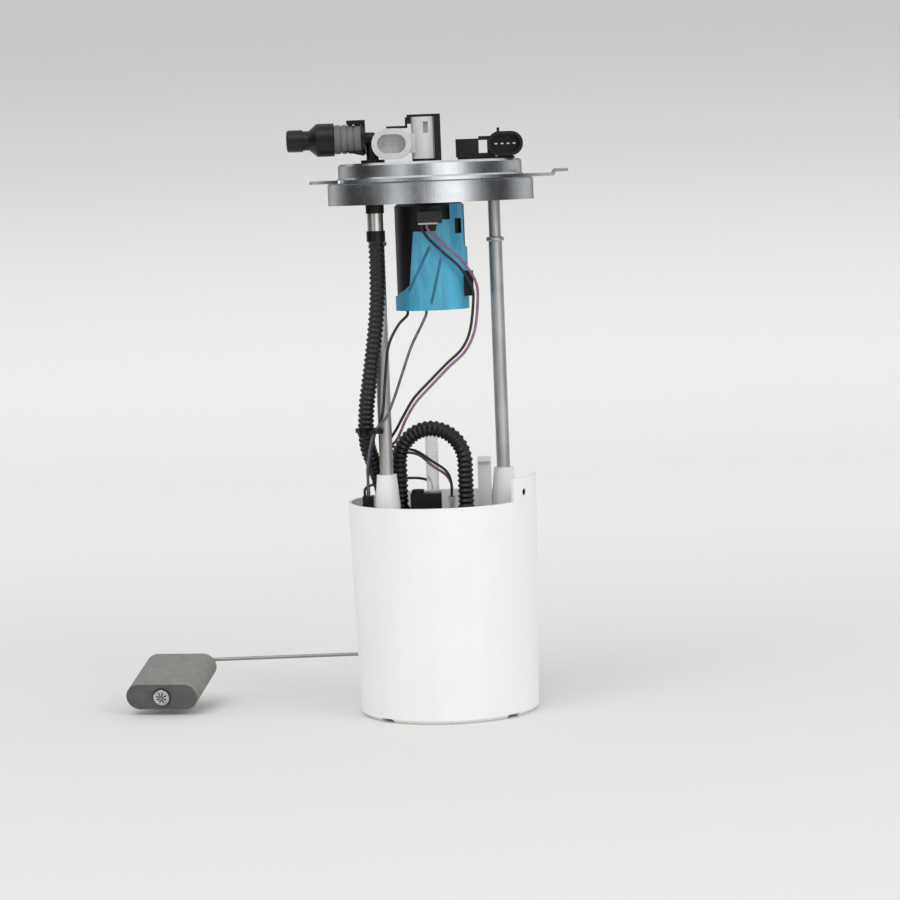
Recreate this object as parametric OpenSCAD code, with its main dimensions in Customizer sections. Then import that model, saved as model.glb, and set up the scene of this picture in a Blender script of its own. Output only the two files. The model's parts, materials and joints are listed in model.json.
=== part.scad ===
// In-tank fuel pump module: a flange and two guide rods over a spring-loaded reservoir.
// +Z is up, the base centre is the origin, and the supply port points along -X.

/* [Reservoir] */
// Height of the reservoir rim above the base
reservoir_h = 137; // [134:0.5:140]
// Outer radius of the reservoir at its rim
rim_r = 60.5; // [60:0.1:61.5]
// Outer radius of the reservoir at its base
base_r = 57.5; // [57:0.1:59]
// Thickness of the reservoir wall
wall_t = 2; // [1.6:0.1:2.4]
// Thickness of the reservoir floor
floor_t = 2.5; // [2:0.1:3.5]
// Height of the foot ring under the floor
foot_h = 3; // [2:0.1:4]
// Height that the rim lug rises above the rim
lug_rise = 15; // [12:0.5:18]
// Radius of the hole in the rim lug
lug_hole_r = 2.2; // [1.8:0.1:2.8]

/* [Guides] */
// Left guide rod, distance along X
rod_left_x = -34.9; // [-35.6:0.1:-34.4]
// Left guide rod, distance along Y
rod_left_y = -13; // [-13.6:0.1:-12.4]
// Right guide rod, distance along X
rod_right_x = 40.1; // [39.5:0.1:41]
// Right guide rod, distance along Y
rod_right_y = 8; // [7:0.1:9]
// Outer radius of a guide rod
rod_r = 4.3; // [4.1:0.05:4.5]
// Radius of a guide rod above its bead
neck_r = 3.8; // [3.7:0.05:4]
// Radius of the bead on a guide rod
bead_r = 5.7; // [5:0.1:6]
// Height of the bead's middle above the base
bead_z = 302; // [298:0.5:306]
// Wall of the guide rod tube
rod_wall = 0.8; // [0.6:0.05:1]
// Radius of a guide column at its top
column_r = 6.4; // [6.3:0.05:6.8]
// Radius of a guide column inside the reservoir
column_low_r = 8; // [7.6:0.1:8.2]
// Height of the guide columns above the rim
column_rise = 17; // [14:0.5:20]
// Radial gap between a rod and its bush
rod_fit = 0.05; // [0.03:0.01:0.08]
// Length of a guide bush
bush_h = 12; // [9:0.5:15]

/* [Flange] */
// Height of the flange plate's underside above the base
plate_z = 341; // [338:0.5:344]
// Outer radius of the flange plate
plate_r = 77; // [75:0.5:79]
// Thickness of the flange plate
plate_t = 2; // [1.6:0.1:2.4]
// Radius of the raised pan
pan_r = 58.5; // [58:0.1:60]
// Height of the pan above the plate
pan_h = 10; // [9:0.5:11]
// Distance from the pan's wall out to the skirt's wall
skirt_step = 7; // [6:0.5:8]
// Depth of the skirt under the plate
skirt_h = 14; // [12:0.5:16]
// Thickness of the pressed pan and skirt
sheet_t = 1.5; // [1.2:0.1:1.8]
// Reach of the locating tab past the plate
tab_reach = 10.5; // [8:0.5:12]
// Height of the step up to the locating tab
tab_rise = 2.5; // [1.5:0.1:4]

/* [Pump] */
// Pump axis, distance along X
pump_x = 12; // [11.5:0.1:12.5]
// Pump axis, distance along Y
pump_y = -8; // [-8.5:0.1:-7.5]
// Outer radius of the pump can
pump_r = 19; // [18.5:0.1:19.2]
// Wall of the pump can
can_t = 1; // [0.8:0.1:1.2]
// Radius of the armature
armature_r = 14.6; // [13:0.1:14.8]
// Radius of the motor shaft
shaft_r = 2; // [1.5:0.1:2.5]
// Radial gap between the shaft and its bearings
shaft_fit = 0.03; // [0.02:0.01:0.05]
// Radius of the impeller
impeller_r = 15; // [13:0.1:15.5]

/* [Filter] */
// Filter axis, distance along X
filter_x = -24; // [-24.5:0.1:-23.8]
// Filter axis, distance along Y
filter_y = 14; // [13.5:0.1:14.5]
// Outer radius of the filter canister
filter_r = 19; // [18.5:0.1:19.2]
// Wall of the filter canister
filter_t = 1.5; // [1.2:0.1:2]

/* [Carrier] */
// Depth of the carrier plate's underside below the rim
carrier_drop = 19; // [17:0.5:21]
// Thickness of the carrier plate
carrier_t = 3; // [2.5:0.1:4]
// Width of a carrier arm
arm_w = 10; // [8:0.5:10.5]

/* [Hoses] */
// Outer radius of the corrugated hoses
hose_r = 5.25; // [5:0.05:5.4]
// Depth of a hose corrugation
ridge_h = 0.8; // [0.5:0.05:1]
// Spacing of the hose corrugations
ridge_pitch = 3.3; // [3:0.1:4]
// Radius of a lead wire
wire_r = 0.9; // [0.7:0.05:1]

/* [Vent valve] */
// Vent valve axis, distance along X
valve_x = -1.5; // [-2:0.1:-1]
// Outer radius of the blue skirt
valve_r = 23.5; // [23.2:0.05:23.7]
// Height of the vent valve's bottom above the base
valve_z = 259; // [257:0.5:262]
// Thickness of the blue skirt
blue_t = 1.3; // [1:0.1:1.6]

/* [Ports] */
// Supply port, distance along X
port_x = -35.5; // [-36:0.1:-35.3]
// Supply port, distance along Y
port_y = -25.5; // [-26:0.1:-25.2]
// Height of the supply port above the pan
port_rise = 15.5; // [14.5:0.1:17]
// Radius of the supply pipe
pipe_r = 3.9; // [3.4:0.1:4]
// Radius of the supply spigot
spigot_r = 6.9; // [6.5:0.1:7.2]
// Radius of the spigot's collar
collar_r = 10.3; // [9.5:0.1:11]
// Radius of the grey sleeve
sleeve_r = 9; // [8.5:0.1:9.4]

/* [Level sender] */
// Height of the float arm's pivot above the base
pivot_z = 85; // [82:0.5:88]
// Float arm's pivot, distance along X
pivot_x = -5; // [-7:0.5:-3]
// Height of the float arm's straight stretch above the base
arm_z = 27.5; // [26:0.5:29]
// Radius of the float arm wire
arm_r = 1.2; // [1:0.05:1.4]
// Length of the float across its hub
float_w = 48; // [42:0.5:52]
// Thickness of the float
float_h = 17.4; // [15:0.2:19]
// Depth of the float along its hub
float_d = 51; // [44:0.5:54]
// Radial gap between the float and its wire
float_fit = 0.08; // [0.05:0.01:0.1]

/* [Hidden] */
$fn = 64;

// Colours
white_plastic = [0.93, 0.93, 0.92];
black_plastic = [0.09, 0.09, 0.10];
blue_plastic = [0.29, 0.62, 0.76];
light_grey = [0.78, 0.78, 0.78];
mid_grey = [0.46, 0.46, 0.47];
zinc = [0.72, 0.74, 0.76];
steel = [0.62, 0.62, 0.62];
copper = [0.72, 0.45, 0.28];
tin = [0.80, 0.80, 0.78];

// Radial gap between a piece and the one that it is pushed onto
push_fit = 0.03;

// Reservoir levels
floor_top = foot_h + floor_t;
chamfer = 2.5;
column_top = reservoir_h + column_rise;
bush_z = column_top - bush_h;
bush_lip = 1.2;
bush_wall = 1.05;
column_bore = rod_r + rod_fit + bush_wall;
foot_gap = 0.1;
foot_base = 3;
rib_t = 2;
foot_z = bush_z - foot_gap - 11;
foot_r = column_bore - 0.25;
rods = [[rod_left_x, rod_left_y, 0], [rod_right_x, rod_right_y, 0]];
lug_from = -42;
lug_to = -4;
lug_hole_at = -31;
pad_w = 38;
pad_low = 54;
pad_high = reservoir_h - 19;
pad_rise = 1.1;

function outer_r(z) = base_r + (rim_r - base_r) * z / reservoir_h;
function inner_r(z) = outer_r(z) - wall_t;
pad_r = max(outer_r(pad_low), outer_r(pad_high)) + pad_rise;

// Carrier levels
carrier_z = reservoir_h - carrier_drop;
carrier_top = carrier_z + carrier_t;
nozzle_top = carrier_top + 5;
ring_t = 2;
grip = 0.2;
pump_at = [pump_x, pump_y, 0];
filter_at = [filter_x, filter_y, 0];
arm_angles_pump = [48, -65];
arm_angles_filter = [220, 100];
arm_end_r = inner_r(carrier_z) - 0.25;
ledge_h = 6;
ledge_w = 7;

// Places on the pump and filter tops
outlet_x = 15.3;
outlet_y = -10;
inlet_x = -26.9;
inlet_y = 4;
supply_x = -38;
supply_y = 12;
nozzle_r = 4.2;
nozzle_bore = 2.9;
terminal_x = 6;
terminal_y = 2;
terminal_top = carrier_top + 17;

// Flange levels
plate_top = plate_z + plate_t;
pan_top = plate_top + pan_h;
pan_under = pan_top - sheet_t;
skirt_z = plate_z - skirt_h;
skirt_r = pan_r + skirt_step;
seat_step = 0.5;
skirt_top = plate_z + seat_step;
seat_r = skirt_r + 0.1;

// Supply port
port_z = pan_top + port_rise;
spigot_end = -89;
spigot_neck = -79;
spigot_cone = -75;
spigot_face = -70;
collar_end = -59.3;
sleeve_from = -58.9;
sleeve_to = -42.2;
hose_drop = 47.5;
hose_top = pan_under - hose_drop;
ferrule_z = hose_top + 6.5;
ferrule_r = hose_r - 1.2;
ferrule_h = 11;

// Supply hose and U hose routes
tie_z = 182.6;
function below_tie(share) = nozzle_top + share * (tie_z - nozzle_top);
supply_route = [[port_x, port_y, hose_top], [port_x, port_y, hose_top - 17], [-36.3, -25, 266],
  [-38.8, -24, 244], [-43.4, -20.5, 215], [-45.8, -17, 200], [-47, -12.5, 184],
  [-46.2, -7, below_tie(0.81)], [-43, -1, below_tie(0.62)], [-40, 6, below_tie(0.425)],
  [supply_x, supply_y, below_tie(0.25)], [supply_x, supply_y, below_tie(0.125)],
  [supply_x, supply_y, nozzle_top]];
u_span = norm([inlet_x - outlet_x, inlet_y - outlet_y]);
u_top = nozzle_top + 34.4;

// Lead wire routes
feed_route = [[-6, -26.5, 314], [-6, -26.5, 310], [-2, -27.4, 304], [7, -26.6, 295], [17, -22.5, 285],
  [23.8, -17.3, 273], [24.2, -17, 262], [21.5, -18, 245], [16, -20, 234], [6, -21.5, 225],
  [-5, -22, 214.5], [-15.5, -22, 204], [-22.5, -19, 193], [-27.5, -12, 184], [-31.6, -3.5, 177.5],
  [-33.8, 6, 172.5], [-26.5, 13.8, 169.5], [-16, 9.5, 167.5], [-6, 5.5, 161], [3, 2, 154.5],
  [terminal_x, terminal_y - 2, terminal_top + 9], [terminal_x, terminal_y - 2, terminal_top]];
return_route = [[-3, -26.5, 314], [-3, -26.5, 311], [1.5, -27.8, 306], [9.5, -27.2, 298],
  [19.5, -23.6, 288], [26.6, -18.6, 275], [27, -18, 262], [24.3, -19, 244.5], [18, -21.6, 232.4],
  [7.4, -23.4, 223], [-3.6, -24.2, 212.3], [-14, -24.2, 201.8], [-21, -21, 191], [-25.3, -13.4, 181.5],
  [-29, -5.2, 175], [-35.6, 5, 169.5], [-28, 16, 167], [-15, 12, 165], [-6, 6.2, 158],
  [2.4, 5.4, 152], [terminal_x, terminal_y + 2, terminal_top + 8],
  [terminal_x, terminal_y + 2, terminal_top]];
plug_x = -47.5;
plug_y = -6.5;
plug_h = 20;
plug_top = carrier_top + plug_h;
signal_route = [[-17.5, -13, valve_z], [-18, -13.5, 256], [-24, -19, 250], [-30.5, -22.5, 237],
  [-33.5, -23.5, 215], [-35, -23.5, 200], [-37.2, -23.2, 190], [-40.6, -22.8, 184], [-42.6, -19.5, 177],
  [-44.6, -15, 168], [-46.6, -10, 157], [plug_x, plug_y + 1.5, plug_top + 6],
  [plug_x, plug_y + 1.5, plug_top]];
ground_route = [[-5.5, -20, valve_z], [-6, -20.4, 256], [-9.5, -22, 249], [-16.3, -23.3, 236],
  [-23.4, -23.7, 217], [-28, -24.4, 204.7], [-33, -25.6, 193.5], [-37.4, -26, 188.4], [-41.4, -25.3, 183.5],
  [-44, -21.8, 176], [-45.8, -16.8, 167], [-47.2, -12.2, 157], [plug_x + 0.6, plug_y - 1.6, plug_top + 6],
  [plug_x + 0.6, plug_y - 1.6, plug_top]];
over_rim = reservoir_h + 9;
lead_route = [[plug_x - 2, plug_y + 2.5, plug_top], [plug_x - 2, plug_y + 4, plug_top + 4],
  [-46, 12, over_rim], [-38, 34, over_rim], [-22, 51, over_rim], [-11, 58, over_rim - 2],
  [-7.5, pad_r + 1.8, over_rim - 7], [-6, pad_r + 2.4, (over_rim + pad_high) / 2 - 2],
  [-6, pad_r + 2, pad_high + 4], [-6, pad_r + 2, pad_high - 2]];

// Vent valve
valve_top = skirt_z - 2;
core_r = valve_r - blue_t - push_fit;
valve_wall = 3;
float_r = 13.5;
float_low = valve_z + valve_wall + 0.02;
float_len = 34;
float_gap = 0.3;
chamber_len = float_len + 7.3;
plug_face = valve_z + 55;
vent_r = 3.6;
vent_bore = 2.2;
vent_rise = 10;
vent_reach = 34;
vent_bead = 3;

// Pressure sensor
sensor_x = -3.6;
sensor_y = -34;
sensor_r = 7;
sensor_head = 6.6;
socket_w = 25;
socket_h = 19;
socket_lift = 2;
socket_front = -42;
socket_back = -30.2;
socket_x = -23.1;
socket_z = pan_top + socket_lift + socket_h / 2;
sensor_top = socket_z + socket_h / 2 + sensor_head;
socket_wall = 3.6;
seal_h = 1.6;

// Electrical header
header_x = 48.2;
header_w = 22.6;
header_h = 15.4;
header_front = -17;
header_back = -5;
header_z = pan_top + 9.4;
header_wall = 2;
base_h = 1.6;

// Level sender
housing_y = pad_r;
wire_y = housing_y + 6;
housing_t = 3.6;
card_t = 0.7;
card_w = 28;
card_h = 17;
card_rise = 8;
hub_r = 7;
hub_bore = 2.5;
bend_x = -29;
bend_z = 30;
yaw = 11;
pitch = 14;
tip_back = [-178.4, wire_y - 5.2, 25];
tip_dir = [-sin(yaw) * cos(pitch), -cos(yaw) * cos(pitch), -sin(pitch)];
push_r = 5.4;
push_t = 1;
arm_travel = 72;

// Cable tie
tie_h = 2.6;
tie_t = 0.9;
tie_hose = [-47, -12.5, 0];
tie_wires = [-41, -24, 0];

// Straight tube standing on z = 0
module tube(r, bore, h) {
  difference() {
    cylinder(r = r, h = h);
    translate([0, 0, -1]) cylinder(r = bore, h = h + 2);
  }
}

// Upright plate with round ends, standing on z = 0
module slot_block(w, h, t) {
  cube_w = w - h;
  translate([-cube_w / 2, -h / 2, 0]) cube([cube_w, h, t]);
  for (s = [-1, 1]) translate([s * cube_w / 2, 0, 0]) cylinder(r = h / 2, h = t);
}

// Turns a piece drawn along +Z so that it points along -Y
module face_front() {
  rotate([90, 0, 0]) children();
}

// Routes of hoses and wires
function unit(v) = v / norm(v);
function smooth(p, steps) = concat(
  [for (i = [0:len(p) - 2])
    for (k = [0:steps - 1])
      let (a = p[max(i - 1, 0)], b = p[i], c = p[i + 1], d = p[min(i + 2, len(p) - 1)], t = k / steps)
      0.5 * (2 * b + (c - a) * t + (2 * a - 5 * b + 4 * c - d) * t * t
        + (3 * b - a - 3 * c + d) * t * t * t)],
  [p[len(p) - 1]]);
function distances(p) = [for (i = 0, s = 0; i < len(p); i = i + 1,
  s = s + (i < len(p) ? norm(p[i] - p[i - 1]) : 0)) s];
function column(p, d, axis) = [for (i = [0:len(p) - 1]) [d[i], p[i][axis]]];
function even(p, count) = let (d = distances(p), total = d[len(d) - 1],
  x = column(p, d, 0), y = column(p, d, 1), z = column(p, d, 2))
  [for (k = [0:count]) let (s = total * k / count) [lookup(s, x), lookup(s, y), lookup(s, z)]];
function length_of(p) = let (d = distances(p)) d[len(d) - 1];
function heading(p, i, first, last) = i == 0 ? first
  : i == len(p) - 1 ? last : unit(p[i + 1] - p[i - 1]);
function side_of(u, t) = unit(u - (u * t) * t);
function sides(p, first, last) = [for (i = 0, u = side_of([1, 0.2, 0], first); i < len(p); i = i + 1,
  u = side_of(u, heading(p, min(i, len(p) - 1), first, last))) u];

// Sweep of an n-sided outline along points p, with a radius for each point
module sweep(p, radii, n, first, last) {
  u = sides(p, first, last);
  rings = [for (i = [0:len(p) - 1])
    let (t = heading(p, i, first, last), v = cross(t, u[i]))
    for (k = [0:n - 1]) p[i] + radii[i] * (cos(360 * k / n) * u[i] + sin(360 * k / n) * v)];
  top = n * (len(p) - 1);
  walls = [for (i = [0:len(p) - 2])
    for (k = [0:n - 1])
      let (a = i * n + k, b = i * n + (k + 1) % n)
      each [[a, a + n, b + n], [a, b + n, b]]];
  caps = [[for (k = [0:n - 1]) k], [for (k = [n - 1:-1:0]) top + k]];
  polyhedron(points = rings, faces = concat(walls, caps));
}

module wire(route, steps, first = [0, 0, -1], last = [0, 0, -1]) {
  p = smooth(route, steps);
  sweep(p, [for (q = p) wire_r], 8, first, last);
}

module ridged_hose(route, first, last) {
  p = smooth(route, 6);
  count = 2 * floor(length_of(p) / ridge_pitch) + 2;
  path = even(p, count);
  radii = [for (i = [0:count]) i % 2 == 0 ? hose_r - ridge_h : hose_r];
  sweep(path, radii, 10, first, last);
}

// Reservoir

function arm_end(c, angle, r) = let (d = [cos(angle), sin(angle), 0], m = c * d)
  c + d * (sqrt(m * m - c * c + r * r) - m);

module outer_shape() {
  rotate_extrude() polygon([[0, 0], [base_r - chamfer, 0], [outer_r(chamfer), chamfer],
    [rim_r, reservoir_h], [0, reservoir_h]]);
}

module inner_shape(top) {
  rotate_extrude() polygon([[0, floor_top], [inner_r(floor_top) - chamfer, floor_top],
    [inner_r(floor_top + chamfer), floor_top + chamfer], [inner_r(top), top], [0, top]]);
}

module guide_column(at) {
  low = floor_top - 0.5;
  high = carrier_z - 12;
  angle = atan2(at[1], at[0]);
  difference() {
    union() {
      translate(at) translate([0, 0, low]) cylinder(r = column_low_r, h = reservoir_h - low);
      translate(at) translate([0, 0, reservoir_h])
        cylinder(r1 = column_low_r, r2 = column_r, h = column_top - reservoir_h);
      rotate([0, 0, angle]) translate([0, rib_t / 2, 0]) face_front() linear_extrude(rib_t)
        polygon([[norm(at), low], [inner_r(low) + 0.5, low], [inner_r(high) + 0.5, high], [norm(at), high]]);
    }
    translate(at) translate([0, 0, floor_top]) cylinder(r = column_bore, h = column_top);
  }
}

module rim_lug() {
  color(white_plastic) difference() {
    rotate([0, 0, lug_from]) rotate_extrude(angle = lug_to - lug_from)
      translate([inner_r(reservoir_h), reservoir_h]) square([wall_t, lug_rise]);
    rotate([0, 0, lug_hole_at]) translate([rim_r - 10, 0, reservoir_h + 5.5])
      rotate([0, 90, 0]) cylinder(r = lug_hole_r, h = 20);
  }
}

module sender_pad() {
  translate([pivot_x - pad_w / 2, 50, pad_low]) cube([pad_w, pad_r - 50, pad_high - pad_low]);
}

module carrier_ledge(c, angle) {
  end = arm_end(c, angle, inner_r(carrier_z) + 0.5);
  intersection() {
    translate(end) rotate([0, 0, angle]) translate([-5, -ledge_w / 2, carrier_z - ledge_h])
      cube([10, ledge_w, ledge_h]);
    inner_wall_fill();
  }
}

module inner_wall_fill() {
  translate([0, 0, carrier_z - 2 * ledge_h]) cylinder(r = inner_r(carrier_z) + 0.5, h = 3 * ledge_h);
}

module reservoir() {
  color(white_plastic) {
    difference() {
      union() {
        outer_shape();
        sender_pad();
      }
      inner_shape(reservoir_h + 1);
      rotate_extrude() translate([12, -1]) square([base_r - 20, foot_h + 1]);
      for (a = [0:90:270]) rotate([0, 0, a + 45]) translate([base_r - 10, -5, -1])
        cube([12, 10, foot_h + 0.5]);
      translate([jet_x, jet_y, -1]) cylinder(r = 2.5, h = floor_top + 2);
    }
    for (at = rods) guide_column(at);
    for (a = arm_angles_pump) carrier_ledge(pump_at, a);
    for (a = arm_angles_filter) carrier_ledge(filter_at, a);
  }
}

module guide_bushes() {
  color(white_plastic) for (at = rods) translate(at) {
    translate([0, 0, bush_z]) tube(column_bore, rod_r + rod_fit, bush_h);
    translate([0, 0, column_top]) tube(column_r, rod_r + rod_fit, bush_lip);
  }
}

module guide_springs() {
  turns = 11;
  steps = 10;
  coil_r = foot_r - 0.8;
  low = floor_top + 0.6;
  high = foot_z - foot_base - 0.6;
  p = [for (k = [0:turns * steps])
    [coil_r * cos(360 * k / steps), coil_r * sin(360 * k / steps), low + (high - low) * k / turns / steps]];
  start = unit(p[1] - p[0]);
  end = unit(p[turns * steps] - p[turns * steps - 1]);
  color(steel) for (at = rods) translate(at) sweep(p, [for (q = p) 0.55], 6, start, end);
}

// Inlet and jet pump
jet_x = -10;
jet_y = -38;

module inlet_valve() {
  color(black_plastic) translate([jet_x, jet_y, 0]) {
    translate([0, 0, floor_top]) cylinder(r = 5, h = 0.8);
    translate([0, 0, foot_h + 0.5]) cylinder(r = 1.2, h = floor_t);
  }
}

module jet_pump() {
  top = floor_top + 12;
  color(black_plastic) difference() {
    union() {
      translate([jet_x - 8, jet_y - 8, floor_top]) cube([16, 16, 12]);
      translate([jet_x + 8, jet_y, floor_top + 7]) rotate([0, 90, 0]) cylinder(r = 4, h = 16);
      translate([jet_x, jet_y, top]) cylinder(r = 3, h = 8);
    }
    translate([jet_x, jet_y, floor_top - 1]) cylinder(r = 6, h = 5);
    translate([jet_x, jet_y, floor_top]) cylinder(r = 1.5, h = 30);
    translate([jet_x - 4, jet_y, floor_top + 7]) rotate([0, 90, 0]) cylinder(r = 2.6, h = 30);
  }
}

// Pump
strainer_t = 6;
cap_low = floor_top + strainer_t;
can_low = cap_low + 12;
can_high = carrier_z - 14;
chamber_z = cap_low + 5;
chamber_h = 4.4;
commutator_z = can_high - 10;
commutator_r = 7;

module inlet_strainer() {
  color(light_grey) translate(pump_at) translate([0, 0, floor_top])
    tube(pump_r - 2, 4, strainer_t);
}

module pump_inlet_cap() {
  color(black_plastic) translate(pump_at) difference() {
    translate([0, 0, cap_low]) cylinder(r = pump_r, h = can_low - cap_low);
    translate([0, 0, chamber_z]) cylinder(r = impeller_r + 0.4, h = chamber_h);
    translate([0, 0, cap_low + 2]) cylinder(r = shaft_r + shaft_fit, h = 20);
    translate([9, 0, cap_low - 1]) cylinder(r = 2.5, h = 8);
  }
}

module pump_can() {
  color(steel) translate(pump_at) translate([0, 0, can_low])
    tube(pump_r, pump_r - can_t, can_high - can_low);
}

module pump_outlet_cap() {
  color(black_plastic) translate(pump_at) difference() {
    union() {
      translate([0, 0, can_high]) cylinder(r = pump_r, h = carrier_z - can_high);
      translate([outlet_x - pump_x, outlet_y - pump_y, carrier_z])
        cylinder(r = nozzle_r, h = nozzle_top - carrier_z);
      translate([terminal_x - pump_x - 3, terminal_y - pump_y - 5, carrier_z]) cube([6, 10, 12]);
    }
    translate([0, 0, can_high - 1]) cylinder(r = shaft_r + shaft_fit, h = 7);
    translate([outlet_x - pump_x, outlet_y - pump_y, can_high + 8])
      cylinder(r = 1.8, h = 30);
    translate([outlet_x - pump_x, outlet_y - pump_y, poppet_z])
      cylinder(r = nozzle_bore, h = 30);
  }
}

module pump_magnets() {
  low = can_low + 8;
  high = commutator_z - 6;
  color(mid_grey) translate(pump_at) translate([0, 0, low]) difference() {
    tube(pump_r - can_t - push_fit, armature_r + 0.6, high - low);
    for (s = [-1, 1]) translate([s * pump_r, 0, (high - low) / 2])
      cube([2 * pump_r - 8, 10, high], center = true);
  }
}

module pump_brushes() {
  reach = 5;
  color(copper) translate(pump_at) for (s = [-1, 1])
    translate([s * (commutator_r + 0.1 + reach / 2), 0, can_high - 3.5])
      cube([reach, 4, 7], center = true);
}

module pump_terminals() {
  color(tin) for (s = [-2, 2]) translate([terminal_x, terminal_y + s, carrier_z + 12]) {
    translate([-1.6, -0.8, 0]) cube([3.2, 1.6, 4]);
    translate([-2.2, -1.3, 4]) cube([4.4, 2.6, terminal_top - carrier_z - 16]);
  }
}

module armature() {
  low = can_low + 12;
  high = commutator_z - 4;
  slots = 8;
  color(mid_grey) translate(pump_at) difference() {
    translate([0, 0, low]) cylinder(r = armature_r, h = high - low);
    for (k = [0:slots - 1]) rotate([0, 0, 360 * k / slots])
      translate([armature_r - 2.5, -0.8, low - 1]) cube([4, 1.6, high - low + 2]);
    translate([0, 0, low - 1]) cylinder(r = shaft_r, h = high - low + 2);
  }
}

module motor_shaft() {
  color(steel) translate(pump_at) {
    translate([0, 0, cap_low + 2.2]) cylinder(r = shaft_r, h = can_high + 5.5 - cap_low - 2.2);
    translate([0, 0, commutator_z]) cylinder(r = commutator_r, h = 9);
  }
}

module impeller() {
  vanes = 24;
  color(black_plastic) translate(pump_at) difference() {
    translate([0, 0, chamber_z + 0.2]) cylinder(r = impeller_r, h = chamber_h - 0.4);
    translate([0, 0, chamber_z]) cylinder(r = shaft_r, h = chamber_h);
    for (k = [0:vanes - 1]) rotate([0, 0, 360 * k / vanes])
      translate([impeller_r - 2.2, -0.7, chamber_z]) cube([1.6, 1.4, chamber_h]);
  }
}

poppet_z = carrier_z - 5;
poppet_h = 4;

module check_poppet() {
  color(black_plastic) translate([outlet_x, outlet_y, poppet_z + 0.02])
    cylinder(r = nozzle_bore - 0.3, h = poppet_h);
}

// Filter
canister_top = carrier_z - 8;

module filter_canister() {
  color(black_plastic) translate(filter_at) difference() {
    translate([0, 0, floor_top]) cylinder(r = filter_r, h = canister_top - floor_top);
    translate([0, 0, floor_top + 2]) cylinder(r = filter_r - filter_t, h = canister_top);
  }
}

module filter_element() {
  pleats = 16;
  high = canister_top - floor_top - 2;
  color(white_plastic) translate(filter_at) translate([0, 0, floor_top + 2]) difference() {
    cylinder(r = filter_r - filter_t - 1, h = high);
    translate([0, 0, -1]) cylinder(r = 7, h = high + 2);
    for (k = [0:pleats - 1]) rotate([0, 0, 360 * k / pleats])
      translate([10, -0.6, -1]) cube([filter_r, 1.2, high + 2]);
  }
}

module lid_nozzle(x, y) {
  translate([x - filter_x, y - filter_y, carrier_z]) cylinder(r = nozzle_r, h = nozzle_top - carrier_z);
}

module filter_lid() {
  color(black_plastic) translate(filter_at) difference() {
    union() {
      translate([0, 0, canister_top]) cylinder(r = filter_r, h = carrier_z - canister_top);
      lid_nozzle(inlet_x, inlet_y);
      lid_nozzle(supply_x, supply_y);
    }
    translate([0, 0, canister_top - 1]) cylinder(r = filter_r - 4, h = 4);
    for (q = [[inlet_x, inlet_y], [supply_x, supply_y]])
      translate([q[0] - filter_x, q[1] - filter_y, canister_top]) cylinder(r = nozzle_bore, h = 30);
  }
}

// Carrier
module arm_bar(c, angle) {
  translate(c) rotate([0, 0, angle]) translate([0, -arm_w / 2, carrier_z]) cube([rim_r, arm_w, carrier_t]);
}

module grip_ring(c, r, low) {
  translate(c) translate([0, 0, low]) tube(r + grip + ring_t, r + grip, carrier_z - low);
}

module pump_carrier() {
  hole = hose_r + 1.6;
  color(black_plastic) difference() {
    union() {
      intersection() {
        union() {
          for (a = arm_angles_pump) arm_bar(pump_at, a);
          for (a = arm_angles_filter) arm_bar(filter_at, a);
          translate(pump_at) translate([0, 0, carrier_z]) cylinder(r = pump_r + grip + ring_t, h = carrier_t);
          translate(filter_at) translate([0, 0, carrier_z]) cylinder(r = filter_r + grip + ring_t, h = carrier_t);
          translate([-22, -9, carrier_z]) cube([24, 30, carrier_t]);
        }
        translate([0, 0, carrier_z]) cylinder(r = arm_end_r, h = carrier_t);
      }
      difference() {
        union() {
          translate(pump_at) translate([0, 0, carrier_z - 12]) cylinder(r = pump_r + grip + ring_t, h = 12);
          translate(filter_at) translate([0, 0, carrier_z - 12]) cylinder(r = filter_r + grip + ring_t, h = 12);
        }
        translate(pump_at) translate([0, 0, carrier_z - 13]) cylinder(r = pump_r + grip, h = 13);
        translate(filter_at) translate([0, 0, carrier_z - 13]) cylinder(r = filter_r + grip, h = 13);
      }
    }
    for (q = [[outlet_x, outlet_y], [inlet_x, inlet_y], [supply_x, supply_y]])
      translate([q[0], q[1], carrier_z - 1]) cylinder(r = hole, h = carrier_t + 2);
    translate([terminal_x - 3.5, terminal_y - 5.5, carrier_z - 1]) cube([7, 11, carrier_t + 2]);
    for (at = rods) translate(at) translate([0, 0, carrier_z - 14]) cylinder(r = column_low_r + 0.4, h = 20);
  }
}

block_x = -20.5;
block_w = 20;

module regulator_block() {
  color(black_plastic) difference() {
    union() {
      translate([block_x, -6, carrier_top]) cube([block_w, 12, 20]);
      translate([block_x + 5, -1, carrier_top + 20]) cylinder(r = 4, h = 2.5);
      translate([block_x + block_w - 4, -6.8, carrier_top + 6]) cube([4, 13.6, 8]);
    }
    translate([block_x + 5, -1, carrier_top + 12]) cylinder(r = 2, h = 20);
  }
}

module overflow_tube() {
  color(light_grey) translate([-5.8, 12, carrier_top]) {
    tube(4, 3.1, 61);
    tube(5.5, 4, 4);
  }
}

module latch_tower() {
  high = 41.6;
  color(light_grey) translate([23.4, 5, carrier_top]) {
    cube([8.6, 2, high]);
    translate([0, 2, 0]) cube([2, 6, 28]);
    translate([6.6, 2, 0]) cube([2, 6, 28]);
    translate([0, -3, high - 3]) cube([8.6, 3, 3]);
  }
}

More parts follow.
